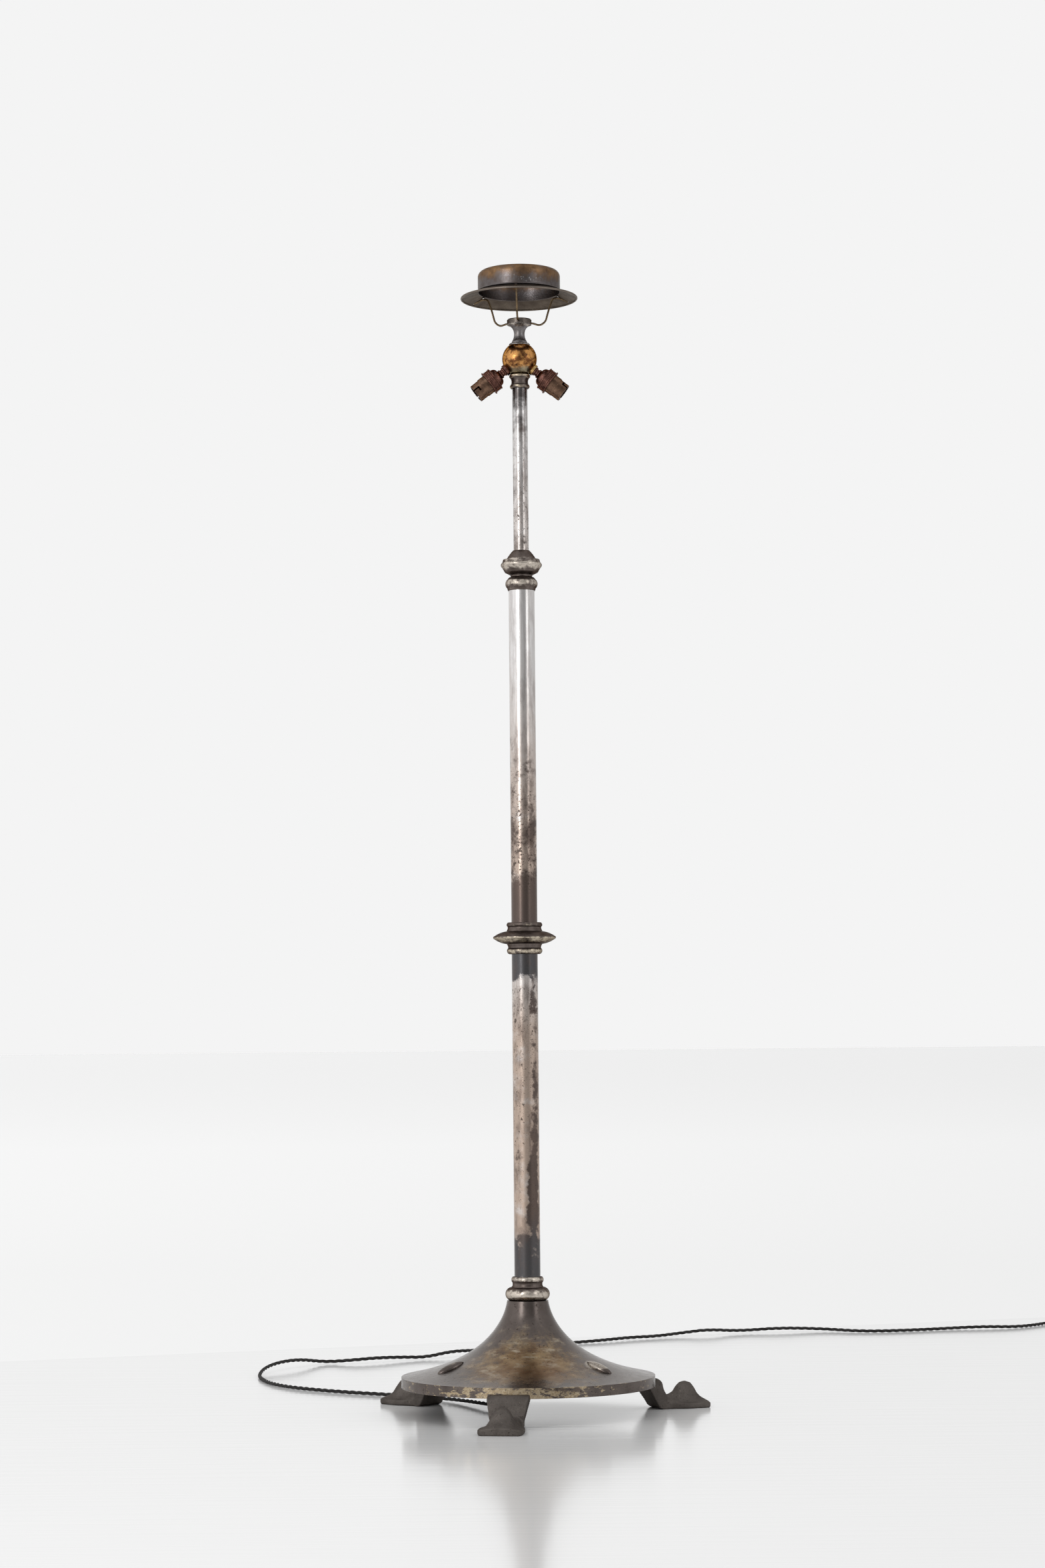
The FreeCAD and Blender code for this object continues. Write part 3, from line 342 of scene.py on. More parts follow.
darkEdge = (0.34, 0.32, 0.31, 1)      # metal at a grazing angle
paleEdge = (0.88, 0.87, 0.86, 1)      # and polished silver


def tone(red, green, blue):
    # a colour as it is mixed on a paint card, 0 to 255, made linear
    return tuple(((part / 255 + 0.055) / 1.055) ** 2.4 for part in (red, green, blue)) + (1,)


def newFinish(name, roughness=0.4, metallic=1.0, edge=darkEdge):
    material = bpy.data.materials.new(name)
    material.use_nodes = True
    tree = material.node_tree
    shader = tree.nodes["Principled BSDF"]
    shader.inputs["Metallic"].default_value = metallic
    shader.inputs["Roughness"].default_value = roughness
    if metallic:
        shader.inputs["Specular Tint"].default_value = edge
    return material, tree, shader


def feed(tree, socket, value):
    if isinstance(value, bpy.types.NodeSocket):
        tree.links.new(value, socket)
    else:
        socket.default_value = value


def coordinates(tree, move=(0, 0, 0), stretch=(1, 1, 1)):
    source = tree.nodes.new("ShaderNodeTexCoord")
    mapping = tree.nodes.new("ShaderNodeMapping")
    mapping.vector_type = "POINT"
    mapping.inputs["Location"].default_value = move
    mapping.inputs["Scale"].default_value = stretch
    tree.links.new(source.outputs["Object"], mapping.inputs["Vector"])
    return mapping.outputs[0]


def heightOf(tree):
    parts = tree.nodes.new("ShaderNodeSeparateXYZ")
    tree.links.new(coordinates(tree), parts.inputs[0])
    return parts.outputs["Z"]


def outward(tree):
    step = tree.nodes.new("ShaderNodeVectorMath")
    step.operation = "LENGTH"
    tree.links.new(coordinates(tree, stretch=(1, 1, 0)), step.inputs[0])
    return step.outputs["Value"]


def maths(tree, operation, first, second=0.0, third=0.0):
    step = tree.nodes.new("ShaderNodeMath")
    step.operation = operation
    for socket, value in zip(step.inputs, (first, second, third)):
        feed(tree, socket, value)
    return step.outputs[0]


def between(tree, value, low, high):
    # 0 at low, 1 at high, eased
    step = tree.nodes.new("ShaderNodeMapRange")
    step.interpolation_type = "SMOOTHSTEP"
    feed(tree, step.inputs["Value"], value)
    step.inputs["From Min"].default_value = low
    step.inputs["From Max"].default_value = high
    return step.outputs[0]


def grain(tree, scale, detail=4, roughness=0.5, stretch=(1, 1, 1), move=(0, 0, 0)):
    step = tree.nodes.new("ShaderNodeTexNoise")
    tree.links.new(coordinates(tree, move, stretch), step.inputs["Vector"])
    step.inputs["Scale"].default_value = scale
    step.inputs["Detail"].default_value = detail
    step.inputs["Roughness"].default_value = roughness
    return step.outputs[0]


def clouds(tree, scale, detail=6, roughness=0.6, stretch=(1, 1, 1), move=(0, 0, 0)):
    # grain spread over the whole of 0 to 1
    step = tree.nodes.new("ShaderNodeMapRange")
    step.inputs["From Min"].default_value = 0.3
    step.inputs["From Max"].default_value = 0.7
    feed(tree, step.inputs["Value"], grain(tree, scale, detail, roughness, stretch, move))
    return step.outputs[0]


def zones(tree, value, stops):
    # stops: (place, amount), the amount eased between them
    low, high = stops[0][0], stops[-1][0]
    spread = tree.nodes.new("ShaderNodeMapRange")
    feed(tree, spread.inputs["Value"], value)
    spread.inputs["From Min"].default_value = low
    spread.inputs["From Max"].default_value = high
    ramp = tree.nodes.new("ShaderNodeValToRGB")
    tree.links.new(spread.outputs[0], ramp.inputs[0])
    marks = ramp.color_ramp.elements
    while len(marks) < len(stops):
        marks.new(0.5)
    for mark, (place, amount) in zip(marks, stops):
        mark.position = (place - low) / (high - low)
        mark.color = (amount, amount, amount, 1)
    return ramp.outputs[0]


def layered(tree, share, under, over):
    step = tree.nodes.new("ShaderNodeMix")
    step.data_type = "RGBA"
    feed(tree, step.inputs[0], share)
    feed(tree, step.inputs[6], under)
    feed(tree, step.inputs[7], over)
    return step.outputs[2]


def blended(tree, share, under, over):
    step = tree.nodes.new("ShaderNodeMix")
    feed(tree, step.inputs[0], share)
    feed(tree, step.inputs[2], under)
    feed(tree, step.inputs[3], over)
    return step.outputs[0]


def dented(tree, shader, height, distance, strength=1.0):
    step = tree.nodes.new("ShaderNodeBump")
    step.inputs["Strength"].default_value = strength
    step.inputs["Distance"].default_value = distance
    feed(tree, step.inputs["Height"], height)
    tree.links.new(step.outputs[0], shader.inputs["Normal"])


def nearTo(tree, centre, reach):
    # 1 at a point, falling to 0 at an ellipsoid of these half sizes round it
    stretch = tuple(1 / half for half in reach)
    move = tuple(-place / half for place, half in zip(centre, reach))
    step = tree.nodes.new("ShaderNodeVectorMath")
    step.operation = "LENGTH"
    tree.links.new(coordinates(tree, move, stretch), step.inputs[0])
    return between(tree, step.outputs["Value"], 1.0, 0.0)


silverTones = {
    "bright": tone(231, 230, 230),
    "dull": tone(198, 195, 194),
    "warm": tone(182, 163, 149),
    "brown": tone(104, 90, 83),
    "slate": tone(88, 88, 90),
    "speck": tone(62, 54, 50),
}
silverMarks = {
    # scale of each pattern, larger is finer
    "stains": 42,
    "warmth": 30,
    "smears": 70,
    "blots": 105,
    "specks": 330,
    "streaks": 420,
    "fine": 900,
    # where each starts to show and where it covers, and how strongly it shows
    "warmthEdge": (-0.35, 0.45),
    "markEdge": (0.64, 0.76),
    "markShare": 0.75,
    "smearEdge": (0.34, 0.86),
    "smearShare": 0.72,
    "relief": 0.00012,
}
silverLooks = {
    # how much there is of each stain, by height in metres; each patch has a middle, a reach and an amount,
    # and edge is where a stain starts to show and where it covers
    "lower": {
        "stain": [(0.19, 0.85), (0.245, 0.72), (0.275, 0.42), (0.34, 0.36), (0.42, 0.27), (0.52, 0.22),
                  (0.60, 0.33), (0.630, 0.42), (0.645, 0.62), (0.655, 1.0), (0.70, 1.0)],
        "warm": [(0.19, 0.4), (0.27, 1.0), (0.45, 1.0), (0.56, 0.95), (0.61, 0.6), (0.65, 0.3), (0.70, 0.0)],
        "slate": [(0.19, 1.0), (0.25, 0.9), (0.30, 0.1), (0.60, 0.2), (0.64, 1.0), (0.70, 1.0)],
        "specks": [(0.19, 0.3), (0.3, 0.8), (0.5, 0.85), (0.62, 0.9), (0.70, 0.1)],
        "patches": [((0.010, -0.019, 0.315), (0.014, 0.02, 0.085), 0.6),
                    # the lower column's second patch is painted shade down its front right side
                    ((0.013, -0.015, 0.46), (0.015, 0.018, 0.26), 0.34)],
        "edge": (0.74, 0.94),
    },
    "upper": {
        "stain": [(0.70, 1.0), (0.765, 0.95), (0.80, 0.52), (0.86, 0.44), (0.95, 0.36), (1.03, 0.22),
                  (1.10, 0.10), (1.185, 0.04), (1.205, 0.3), (1.22, 0.6)],
        "warm": [(0.70, 0.5), (0.80, 0.95), (0.88, 0.85), (0.96, 0.6), (1.04, 0.28), (1.12, 0.08),
                 (1.22, 0.1)],
        "slate": [(0.70, 0.25), (0.79, 0.1), (0.95, 0.25), (1.1, 0.5), (1.22, 0.3)],
        "specks": [(0.70, 0.2), (0.80, 1.0), (0.95, 0.8), (1.05, 0.45), (1.22, 0.25)],
        "patches": [((0.013, -0.019, 0.86), (0.015, 0.02, 0.09), 0.25)],
        "edge": (0.70, 1.0),
    },
    "stem": {
        "stain": [(0.82, 0.5), (1.24, 0.45), (1.30, 0.26), (1.36, 0.18), (1.41, 0.30), (1.455, 0.52),
                  (1.485, 0.66), (1.53, 0.85)],
        "warm": [(0.82, 0.5), (1.26, 0.5), (1.32, 0.35), (1.42, 0.1), (1.53, 0.0)],
        "slate": [(0.82, 0.3), (1.40, 0.2), (1.46, 0.8), (1.53, 0.8)],
        "specks": [(0.82, 0.7), (1.30, 0.9), (1.42, 0.8), (1.48, 0.5), (1.53, 0.2)],
        "patches": [((-0.0125, -0.004, 1.36), (0.0075, 0.014, 0.16), 0.55)],
        "edge": (0.60, 1.15),
    },
}


def silverFinish(name):
    look = silverLooks[name]
    material, tree, shader = newFinish("silver" + name.capitalize(), edge=paleEdge)
    height = heightOf(tree)
    # the plate, streaked by polishing and warm where it is thin
    streaks = clouds(tree, silverMarks["streaks"], 3, 0.5, stretch=(1, 1, 0.05))
    fine = clouds(tree, silverMarks["fine"], 3, 0.6)
    colour = layered(tree, streaks, silverTones["bright"], silverTones["dull"])
    worn = clouds(tree, silverMarks["warmth"], 7, 0.62, move=(3, 1, 2))
    worn = between(tree, worn, *silverMarks["warmthEdge"])
    warmth = maths(tree, "MULTIPLY", zones(tree, height, look["warm"]), worn)
    colour = layered(tree, warmth, colour, silverTones["warm"])
    # stains with ragged edges, and on the lower column a patch of painted shade
    stain = zones(tree, height, look["stain"])
    for centre, reach, amount in look["patches"]:
        stain = maths(tree, "MULTIPLY_ADD", nearTo(tree, centre, reach), amount, stain)
    ragged = clouds(tree, silverMarks["stains"], 9, 0.66)
    stainedAndShaded = between(tree, maths(tree, "MULTIPLY_ADD", ragged, 0.62, stain), *look["edge"])
    dark = layered(tree, zones(tree, height, look["slate"]), silverTones["brown"], silverTones["slate"])
    dark = layered(tree, maths(tree, "MULTIPLY", fine, 0.35), dark, silverTones["speck"])
    colour = layered(tree, stainedAndShaded, colour, dark)
    # brown smears, then blots and specks over them
    marked = zones(tree, height, look["specks"])
    smears = clouds(tree, silverMarks["smears"], 7, 0.68, stretch=(1, 1, 0.3), move=(2, 2, 2))
    smeared = maths(tree, "MULTIPLY", between(tree, smears, *silverMarks["smearEdge"]), marked)
    colour = layered(tree, maths(tree, "MULTIPLY", smeared, silverMarks["smearShare"]), colour,
                     silverTones["brown"])
    specks = maths(tree, "MULTIPLY", clouds(tree, silverMarks["specks"], 4, 0.6, move=(5, 0, 1)), marked)
    blots = maths(tree, "MULTIPLY", clouds(tree, silverMarks["blots"], 7, 0.7, move=(0, 4, 1)), marked)
    marks = maths(tree, "MAXIMUM", between(tree, specks, *silverMarks["markEdge"]),
                  between(tree, blots, *silverMarks["markEdge"]))
    colour = layered(tree, maths(tree, "MULTIPLY", marks, silverMarks["markShare"]), colour,
                     silverTones["speck"])
    tree.links.new(colour, shader.inputs["Base Color"])
    rough = blended(tree, stainedAndShaded, maths(tree, "MULTIPLY_ADD", streaks, 0.10, 0.14), 0.24)
    tree.links.new(blended(tree, marks, rough, 0.55), shader.inputs["Roughness"])
    sunk = maths(tree, "MAXIMUM", stainedAndShaded, marks)
    dented(tree, shader, maths(tree, "SUBTRACT", maths(tree, "MULTIPLY", fine, 0.25), sunk),
           silverMarks["relief"], 0.6)
    return material


collarLook = {
    "dark": (tone(120, 110, 105), tone(80, 71, 66)),
    "worn": tone(206, 196, 184),
    "pit": tone(40, 35, 32),
    "wornEdge": (0.62, 1.05),
    "roughness": (0.29, 0.17),      # dark, worn
    "relief": 0.00012,
}
collarBands = {
    # (height, wear): bright on the beads, where hands and polish reach
    "baseCollar": [(0.1677, 0.30), (0.170, 0.55), (0.1755, 0.72), (0.182, 0.55), (0.1865, 0.15), (0.192, 0.0),
                   (0.195, 0.25), (0.1985, 0.75), (0.2024, 0.45)],
    "middleCollar": [(0.6754, 0.35), (0.680, 0.60), (0.685, 0.10), (0.690, 0.05), (0.694, 0.55),
                     (0.699, 0.62), (0.7005, 0.35), (0.704, 0.05), (0.713, 0.0), (0.717, 0.35),
                     (0.7218, 0.15)],
    "columnCap": [(1.2084, 0.1), (1.212, 0.2), (1.2175, 0.62), (1.223, 0.55), (1.2255, 0.1), (1.2487, 0.0)],
    "clampNut": [(1.2321, 0.05), (1.236, 0.2), (1.242, 0.65), (1.247, 0.66), (1.2505, 0.4), (1.2545, 0.45),
                 (1.2565, 0.05), (1.2672, 0.0)],
    "stemCollar": [(1.505, 0.45), (1.508, 0.6), (1.511, 0.15), (1.517, 0.05), (1.520, 0.35), (1.5226, 0.6),
                   (1.5252, 0.5)],
    "neck": [(1.567, 0.25), (1.570, 0.45), (1.573, 0.1), (1.583, 0.25), (1.592, 0.1), (1.5975, 0.55),
             (1.5986, 0.5)],
    "hub": [(1.5986, 0.45), (1.6002, 0.15), (1.6045, 0.1), (1.6064, 0.35)],
}


def collarFinish(name, worn=collarLook["worn"], dark=collarLook["dark"]):
    material, tree, shader = newFinish(name)
    ragged = clouds(tree, 140, 6, 0.65)
    wear = maths(tree, "MULTIPLY_ADD", ragged, 0.6, zones(tree, heightOf(tree), collarBands[name]))
    wear = between(tree, wear, *collarLook["wornEdge"])
    shade = layered(tree, clouds(tree, 70, 5, 0.6, move=(1, 2, 0)), *dark)
    colour = layered(tree, wear, shade, worn)
    pitted = between(tree, clouds(tree, 700, 3, 0.6), 0.78, 0.9)
    colour = layered(tree, maths(tree, "MULTIPLY", pitted, 0.6), colour, collarLook["pit"])
    tree.links.new(colour, shader.inputs["Base Color"])
    rough = blended(tree, wear, *collarLook["roughness"])
    tree.links.new(maths(tree, "MULTIPLY_ADD", ragged, 0.1, rough), shader.inputs["Roughness"])
    dented(tree, shader, maths(tree, "SUBTRACT", maths(tree, "MULTIPLY", ragged, 0.6), pitted),
           collarLook["relief"], 0.5)
    return material


baseLook = {
    "dark": (tone(108, 100, 96), tone(68, 60, 56)),
    "haze": tone(112, 104, 100),
    # rubbed golden brown in front: middle and reach
    "front": ((0.0, -0.115, 0.088), (0.185, 0.150, 0.090)),
    "golden": (tone(162, 140, 108), tone(98, 72, 50)),
    "polished": tone(172, 160, 142),
    "brownSpot": ((0.012, -0.13, 0.062), (0.10, 0.09, 0.045)),
    "brown": (tone(132, 98, 62), tone(84, 58, 38)),
    # oval bosses, rubbed pale and with a painted highlight: turn round the column, how much
    "bosses": [(-34.5, 1.5), (85.5, 0.6), (205.5, 0.5)],
    "bossRing": 0.1248,
    "bossHeight": 0.081,
    "bossReach": (0.036, 0.036, 0.016),
    "bossTones": (tone(190, 182, 172), tone(120, 110, 101)),
    # flecks worn round the rim's side, most of them in front
    "rimFoot": (0.0405, 0.0425),
    "rimTop": (0.0585, 0.0565),
    "rimFront": ((-0.02, -0.19, 0.049), (0.17, 0.12, 0.2)),
    "rimTones": (tone(186, 172, 148), tone(142, 122, 94)),
    "pit": tone(44, 38, 34),
    "relief": 0.0002,
}


def baseFinish():
    material, tree, shader = newFinish("castBase", edge=paleEdge)
    ragged = clouds(tree, 60, 8, 0.68, move=(2, 0, 1))
    fine = clouds(tree, 420, 4, 0.6)
    colour = layered(tree, clouds(tree, 14, 7, 0.62), *baseLook["dark"])
    colour = layered(tree, maths(tree, "MULTIPLY", ragged, 0.45), colour, baseLook["haze"])
    # the golden front, in rings as it was polished
    rings = clouds(tree, 42, 7, 0.7, stretch=(1, 1, 3.2), move=(6, 0, 2))
    rubbed = maths(tree, "MULTIPLY_ADD", ragged, 0.5, nearTo(tree, *baseLook["front"]))
    rubbed = between(tree, maths(tree, "MULTIPLY_ADD", rings, 0.35, rubbed), 0.66, 1.36)
    golden = layered(tree, clouds(tree, 48, 6, 0.6, move=(0, 3, 0)), *baseLook["golden"])
    golden = layered(tree, between(tree, rings, 0.45, 1.0), golden, baseLook["polished"])
    brown = maths(tree, "MULTIPLY", nearTo(tree, *baseLook["brownSpot"]), 0.8)
    golden = layered(tree, brown, golden, layered(tree, ragged, *baseLook["brown"]))
    colour = layered(tree, rubbed, colour, golden)
    # the bosses, paler where rubbed and with a painted highlight
    for angle, amount in baseLook["bosses"]:
        across = baseLook["bossRing"] * cos(radians(angle))
        along = baseLook["bossRing"] * sin(radians(angle))
        boss = nearTo(tree, (across, along, baseLook["bossHeight"]), baseLook["bossReach"])
        paler = maths(tree, "MULTIPLY_ADD", ragged, 0.45, maths(tree, "MULTIPLY", boss, amount))
        colour = layered(tree, between(tree, paler, 0.62, 0.95), colour,
                         layered(tree, fine, *baseLook["bossTones"]))
    # the rim
    height = heightOf(tree)
    side = maths(tree, "MULTIPLY", between(tree, height, *baseLook["rimFoot"]),
                 between(tree, height, *baseLook["rimTop"]))
    chips = clouds(tree, 74, 8, 0.72, stretch=(1, 1, 2.2), move=(0, 0, 5))
    chips = maths(tree, "MULTIPLY_ADD", nearTo(tree, *baseLook["rimFront"]), 0.42, chips)
    worn = maths(tree, "MULTIPLY", side, between(tree, chips, 0.72, 0.84))
    colour = layered(tree, worn, colour, layered(tree, fine, *baseLook["rimTones"]))
    # pits
    pits = between(tree, clouds(tree, 260, 4, 0.6, move=(4, 4, 0)), 0.8, 0.92)
    colour = layered(tree, maths(tree, "MULTIPLY", pits, 0.7), colour, baseLook["pit"])
    tree.links.new(colour, shader.inputs["Base Color"])
    rough = blended(tree, rubbed, maths(tree, "MULTIPLY_ADD", ragged, 0.12, 0.17), 0.31)
    tree.links.new(rough, shader.inputs["Roughness"])
    relief = maths(tree, "SUBTRACT", maths(tree, "MULTIPLY", fine, 0.3), maths(tree, "MULTIPLY", pits, 0.8))
    dented(tree, shader, relief, baseLook["relief"], 0.5)
    return material


footLook = {
    "cast": (tone(105, 99, 95), tone(73, 68, 65)),
    "dust": tone(104, 97, 90),
    "scratch": tone(170, 162, 150),
    "pit": tone(40, 35, 33),
    "metallic": 0.75,
    "relief": 0.0005,
}


def footFinish():
    material, tree, shader = newFinish("castFoot", metallic=footLook["metallic"])
    broad = clouds(tree, 36, 6, 0.6)
    fine = clouds(tree, 320, 5, 0.65)
    colour = layered(tree, broad, *footLook["cast"])
    colour = layered(tree, maths(tree, "MULTIPLY", fine, 0.4), colour, footLook["dust"])
    scratch = between(tree, clouds(tree, 120, 6, 0.75, stretch=(3, 0.5, 1), move=(7, 1, 0)), 0.86, 0.95)
    colour = layered(tree, maths(tree, "MULTIPLY", scratch, 0.7), colour, footLook["scratch"])
    pits = between(tree, clouds(tree, 520, 4, 0.6, move=(1, 5, 2)), 0.78, 0.92)
    colour = layered(tree, maths(tree, "MULTIPLY", pits, 0.7), colour, footLook["pit"])
    tree.links.new(colour, shader.inputs["Base Color"])
    tree.links.new(maths(tree, "MULTIPLY_ADD", fine, 0.16, 0.44), shader.inputs["Roughness"])
    relief = maths(tree, "SUBTRACT", maths(tree, "MULTIPLY_ADD", broad, 1.2, fine), pits)
    dented(tree, shader, relief, footLook["relief"], 0.6)
    return material


galleryLook = {
    "dark": (tone(112, 108, 109), tone(80, 72, 69)),
    "golden": (tone(136, 106, 76), tone(86, 66, 52)),
    # how golden it is, by height
    "goldBands": [(1.632, 0.0), (1.6467, 0.05), (1.655, 0.22), (1.663, 0.55), (1.670, 0.85), (1.678, 0.75)],
    "underside": (1.6462, 1.6448),          # from here down it is browner
    "underTones": (tone(104, 94, 84), tone(72, 63, 56)),
    "shadeInside": tone(58, 50, 44),
    "shadeInsideReach": (0.072, 0.05),             # painted shade in the hollow, fading in from the first radius to the second
    "rimSheenReach": (0.0832, 0.0846),           # and past this one the rim is paler, a painted highlight on its rolled edge
    "rim": tone(140, 130, 122),
    "flecks": ((0.006, -0.06, 1.6565), (0.034, 0.03, 0.009)),
    "fleck": tone(214, 214, 214),
    "grazing": (0.62, 0.60, 0.58, 1),
    "relief": 0.00012,
}


def galleryFinish():
    material, tree, shader = newFinish("galleryMetal", edge=galleryLook["grazing"])
    height = heightOf(tree)
    reach = outward(tree)
    ragged = clouds(tree, 60, 7, 0.65)
    fine = clouds(tree, 420, 4, 0.6)
    below = between(tree, height, *galleryLook["underside"])
    dark = layered(tree, ragged, *galleryLook["dark"])
    dark = layered(tree, below, dark, layered(tree, ragged, *galleryLook["underTones"]))
    gold = maths(tree, "MULTIPLY_ADD", ragged, 0.5, zones(tree, height, galleryLook["goldBands"]))
    golden = layered(tree, clouds(tree, 90, 5, 0.6, move=(2, 2, 2)), *galleryLook["golden"])
    colour = layered(tree, between(tree, gold, 0.45, 1.15), dark, golden)
    # a painted highlight round the brim's rolled edge
    rim = between(tree, reach, *galleryLook["rimSheenReach"])
    colour = layered(tree, maths(tree, "MULTIPLY", rim, 0.5), colour, galleryLook["rim"])
    # painted shade on the underside, darkest towards the middle
    inner = maths(tree, "MULTIPLY", below, between(tree, reach, *galleryLook["shadeInsideReach"]))
    colour = layered(tree, maths(tree, "MULTIPLY", inner, 0.7), colour, galleryLook["shadeInside"])
    flecks = between(tree, clouds(tree, 190, 6, 0.72, stretch=(1, 1, 0.8)), 0.66, 0.8)
    flecks = maths(tree, "MULTIPLY", flecks, nearTo(tree, *galleryLook["flecks"]))
    colour = layered(tree, flecks, colour, galleryLook["fleck"])
    tree.links.new(colour, shader.inputs["Base Color"])
    tree.links.new(maths(tree, "MULTIPLY_ADD", ragged, 0.14, 0.24), shader.inputs["Roughness"])
    dented(tree, shader, maths(tree, "ADD", fine, maths(tree, "MULTIPLY", ragged, 0.8)),
           galleryLook["relief"], 0.5)
    return material


ballLook = {
    "brass": (tone(206, 150, 90), tone(108, 70, 44)),
    "tarnish": tone(62, 43, 34),
    "plated": (tone(166, 156, 132), tone(98, 88, 70)),
    "platedBelow": (0.004, 0.013),          # under the ball's middle: plate begins, and covers
    "relief": 0.00015,
}


def ballFinish():
    material, tree, shader = newFinish("ballBrass")
    ragged = clouds(tree, 130, 8, 0.68)
    patches = clouds(tree, 42, 6, 0.62, move=(1, 0, 3))
    colour = layered(tree, between(tree, ragged, 0.25, 0.75), *ballLook["brass"])
    colour = layered(tree, between(tree, patches, 0.60, 0.86), colour, ballLook["tarnish"])
    begins, covers = (ballHeight - depth for depth in ballLook["platedBelow"])
    plated = between(tree, maths(tree, "MULTIPLY_ADD", patches, 0.012, heightOf(tree)), begins, covers)
    colour = layered(tree, plated, colour, layered(tree, ragged, *ballLook["plated"]))
    tree.links.new(colour, shader.inputs["Base Color"])
    tree.links.new(maths(tree, "MULTIPLY_ADD", ragged, 0.16, 0.16), shader.inputs["Roughness"])
    dented(tree, shader, ragged, ballLook["relief"], 0.4)
    return material


def plainMetal(name, light, dark, roughness=0.3, scale=160, stretch=(1, 1, 1), relief=0.0001):
    material, tree, shader = newFinish(name)
    ragged = clouds(tree, scale, 6, 0.65, stretch=stretch)
    fine = clouds(tree, scale * 6, 3, 0.6)
    pits = maths(tree, "MULTIPLY", between(tree, fine, 0.7, 0.9), 0.5)
    colour = layered(tree, pits, layered(tree, ragged, light, dark), tone(38, 32, 28))
    tree.links.new(colour, shader.inputs["Base Color"])
    tree.links.new(maths(tree, "MULTIPLY_ADD", ragged, 0.14, roughness - 0.07), shader.inputs["Roughness"])
    dented(tree, shader, maths(tree, "ADD", ragged, fine), relief, 0.5)
    return material


def mouldedFinish(name, light, dark, roughness, scale=120):
    material, tree, shader = newFinish(name, roughness, 0.0)
    mottled = clouds(tree, scale, 5, 0.6)
    tree.links.new(layered(tree, mottled, light, dark), shader.inputs["Base Color"])
    tree.links.new(maths(tree, "MULTIPLY_ADD", mottled, 0.1, roughness - 0.05), shader.inputs["Roughness"])
    dented(tree, shader, clouds(tree, scale * 8, 3, 0.6), 0.00005, 0.4)
    return material


braid = {
    "plaits": (1812.5, 8),      # along a strand and round it
    "cotton": (tone(16, 15, 15), tone(44, 41, 40)),
    "fuzz": tone(58, 55, 53),
    "roughness": 0.85,
    "relief": 0.00015,
}


def braidFinish():
    # black cotton braid; the pattern follows each strand
    material, tree, shader = newFinish("cottonBraid", braid["roughness"], 0.0)
    place = tree.nodes.new("ShaderNodeUVMap")
    place.uv_map = "UVMap"
    counted = tree.nodes.new("ShaderNodeMapping")
    counted.inputs["Scale"].default_value = (*braid["plaits"], 1)
    tree.links.new(place.outputs[0], counted.inputs["Vector"])
    parts = tree.nodes.new("ShaderNodeSeparateXYZ")
    tree.links.new(counted.outputs[0], parts.inputs[0])
    waves = []
    for lean in (1, -1):
        phase = maths(tree, "MULTIPLY_ADD", parts.outputs["Y"], lean, parts.outputs["X"])
        waves.append(maths(tree, "SINE", maths(tree, "MULTIPLY", phase, pi)))
    lifted = between(tree, maths(tree, "MULTIPLY", *waves), -0.6, 0.8)
    fuzz = clouds(tree, 2200, 2, 0.5)
    # the crests of the plaits lighter and the hollows between them darker: painted shade
    colour = layered(tree, lifted, *braid["cotton"])
    colour = layered(tree, maths(tree, "MULTIPLY", fuzz, 0.3), colour, braid["fuzz"])
    tree.links.new(colour, shader.inputs["Base Color"])
    dented(tree, shader, maths(tree, "ADD", lifted, fuzz), braid["relief"], 0.5)
    return material


def makeFinishes():
    return {
        "lowerSilver": silverFinish("lower"),
        "upperSilver": silverFinish("upper"),
        "stemSilver": silverFinish("stem"),
        "castBase": baseFinish(),
        "castFoot": footFinish(),
        "gallery": galleryFinish(),
        "ball": ballFinish(),
        "baseCollar": collarFinish("baseCollar"),
        "middleCollar": collarFinish("middleCollar", worn=tone(204, 192, 172)),
        "columnCap": collarFinish("columnCap"),
        "clampNut": collarFinish("clampNut"),
        "stemCollar": collarFinish("stemCollar", worn=tone(200, 184, 160)),
        # the neck's lighter tones are a painted sheen, standing in for highlights it doesn't catch
        "neck": collarFinish("neck", dark=(tone(146, 143, 144), tone(92, 84, 80))),
        "hub": collarFinish("hub", dark=(tone(116, 108, 102), tone(76, 68, 63))),
        "wire": plainMetal("wireBrass", tone(138, 118, 92), tone(78, 64, 50), 0.3, 260, (1, 1, 0.4)),
        "redBronze": plainMetal("redBronze", tone(134, 96, 84), tone(78, 52, 47), 0.2, 190),
        "barrelBronze": plainMetal("barrelBronze", tone(134, 106, 87), tone(74, 55, 46), 0.18, 150),
        "goldBrass": plainMetal("goldBrass", tone(228, 192, 128), tone(160, 122, 76), 0.2, 220),
        "plainBrass": plainMetal("plainBrass", tone(196, 162, 96), tone(150, 116, 62), 0.34),
        "plainSteel": plainMetal("plainSteel", tone(170, 170, 170), tone(120, 118, 116), 0.36),
        "castIron": plainMetal("castIron", tone(84, 82, 80), tone(52, 48, 46), 0.6, 60, relief=0.0006),
        "porcelain": mouldedFinish("porcelain", tone(226, 220, 206), tone(206, 198, 180), 0.2),
        "hardRubber": mouldedFinish("hardRubber", tone(44, 42, 41), tone(30, 28, 27), 0.45),
        "plugBlack": mouldedFinish("plugBlack", tone(36, 33, 31), tone(22, 20, 19), 0.22),
        "leadCover": mouldedFinish("leadCover", tone(40, 37, 35), tone(24, 22, 21), 0.6, 400),
        "braid": braidFinish(),
    }


finishes = makeFinishes()
print("finishes:", len(finishes))

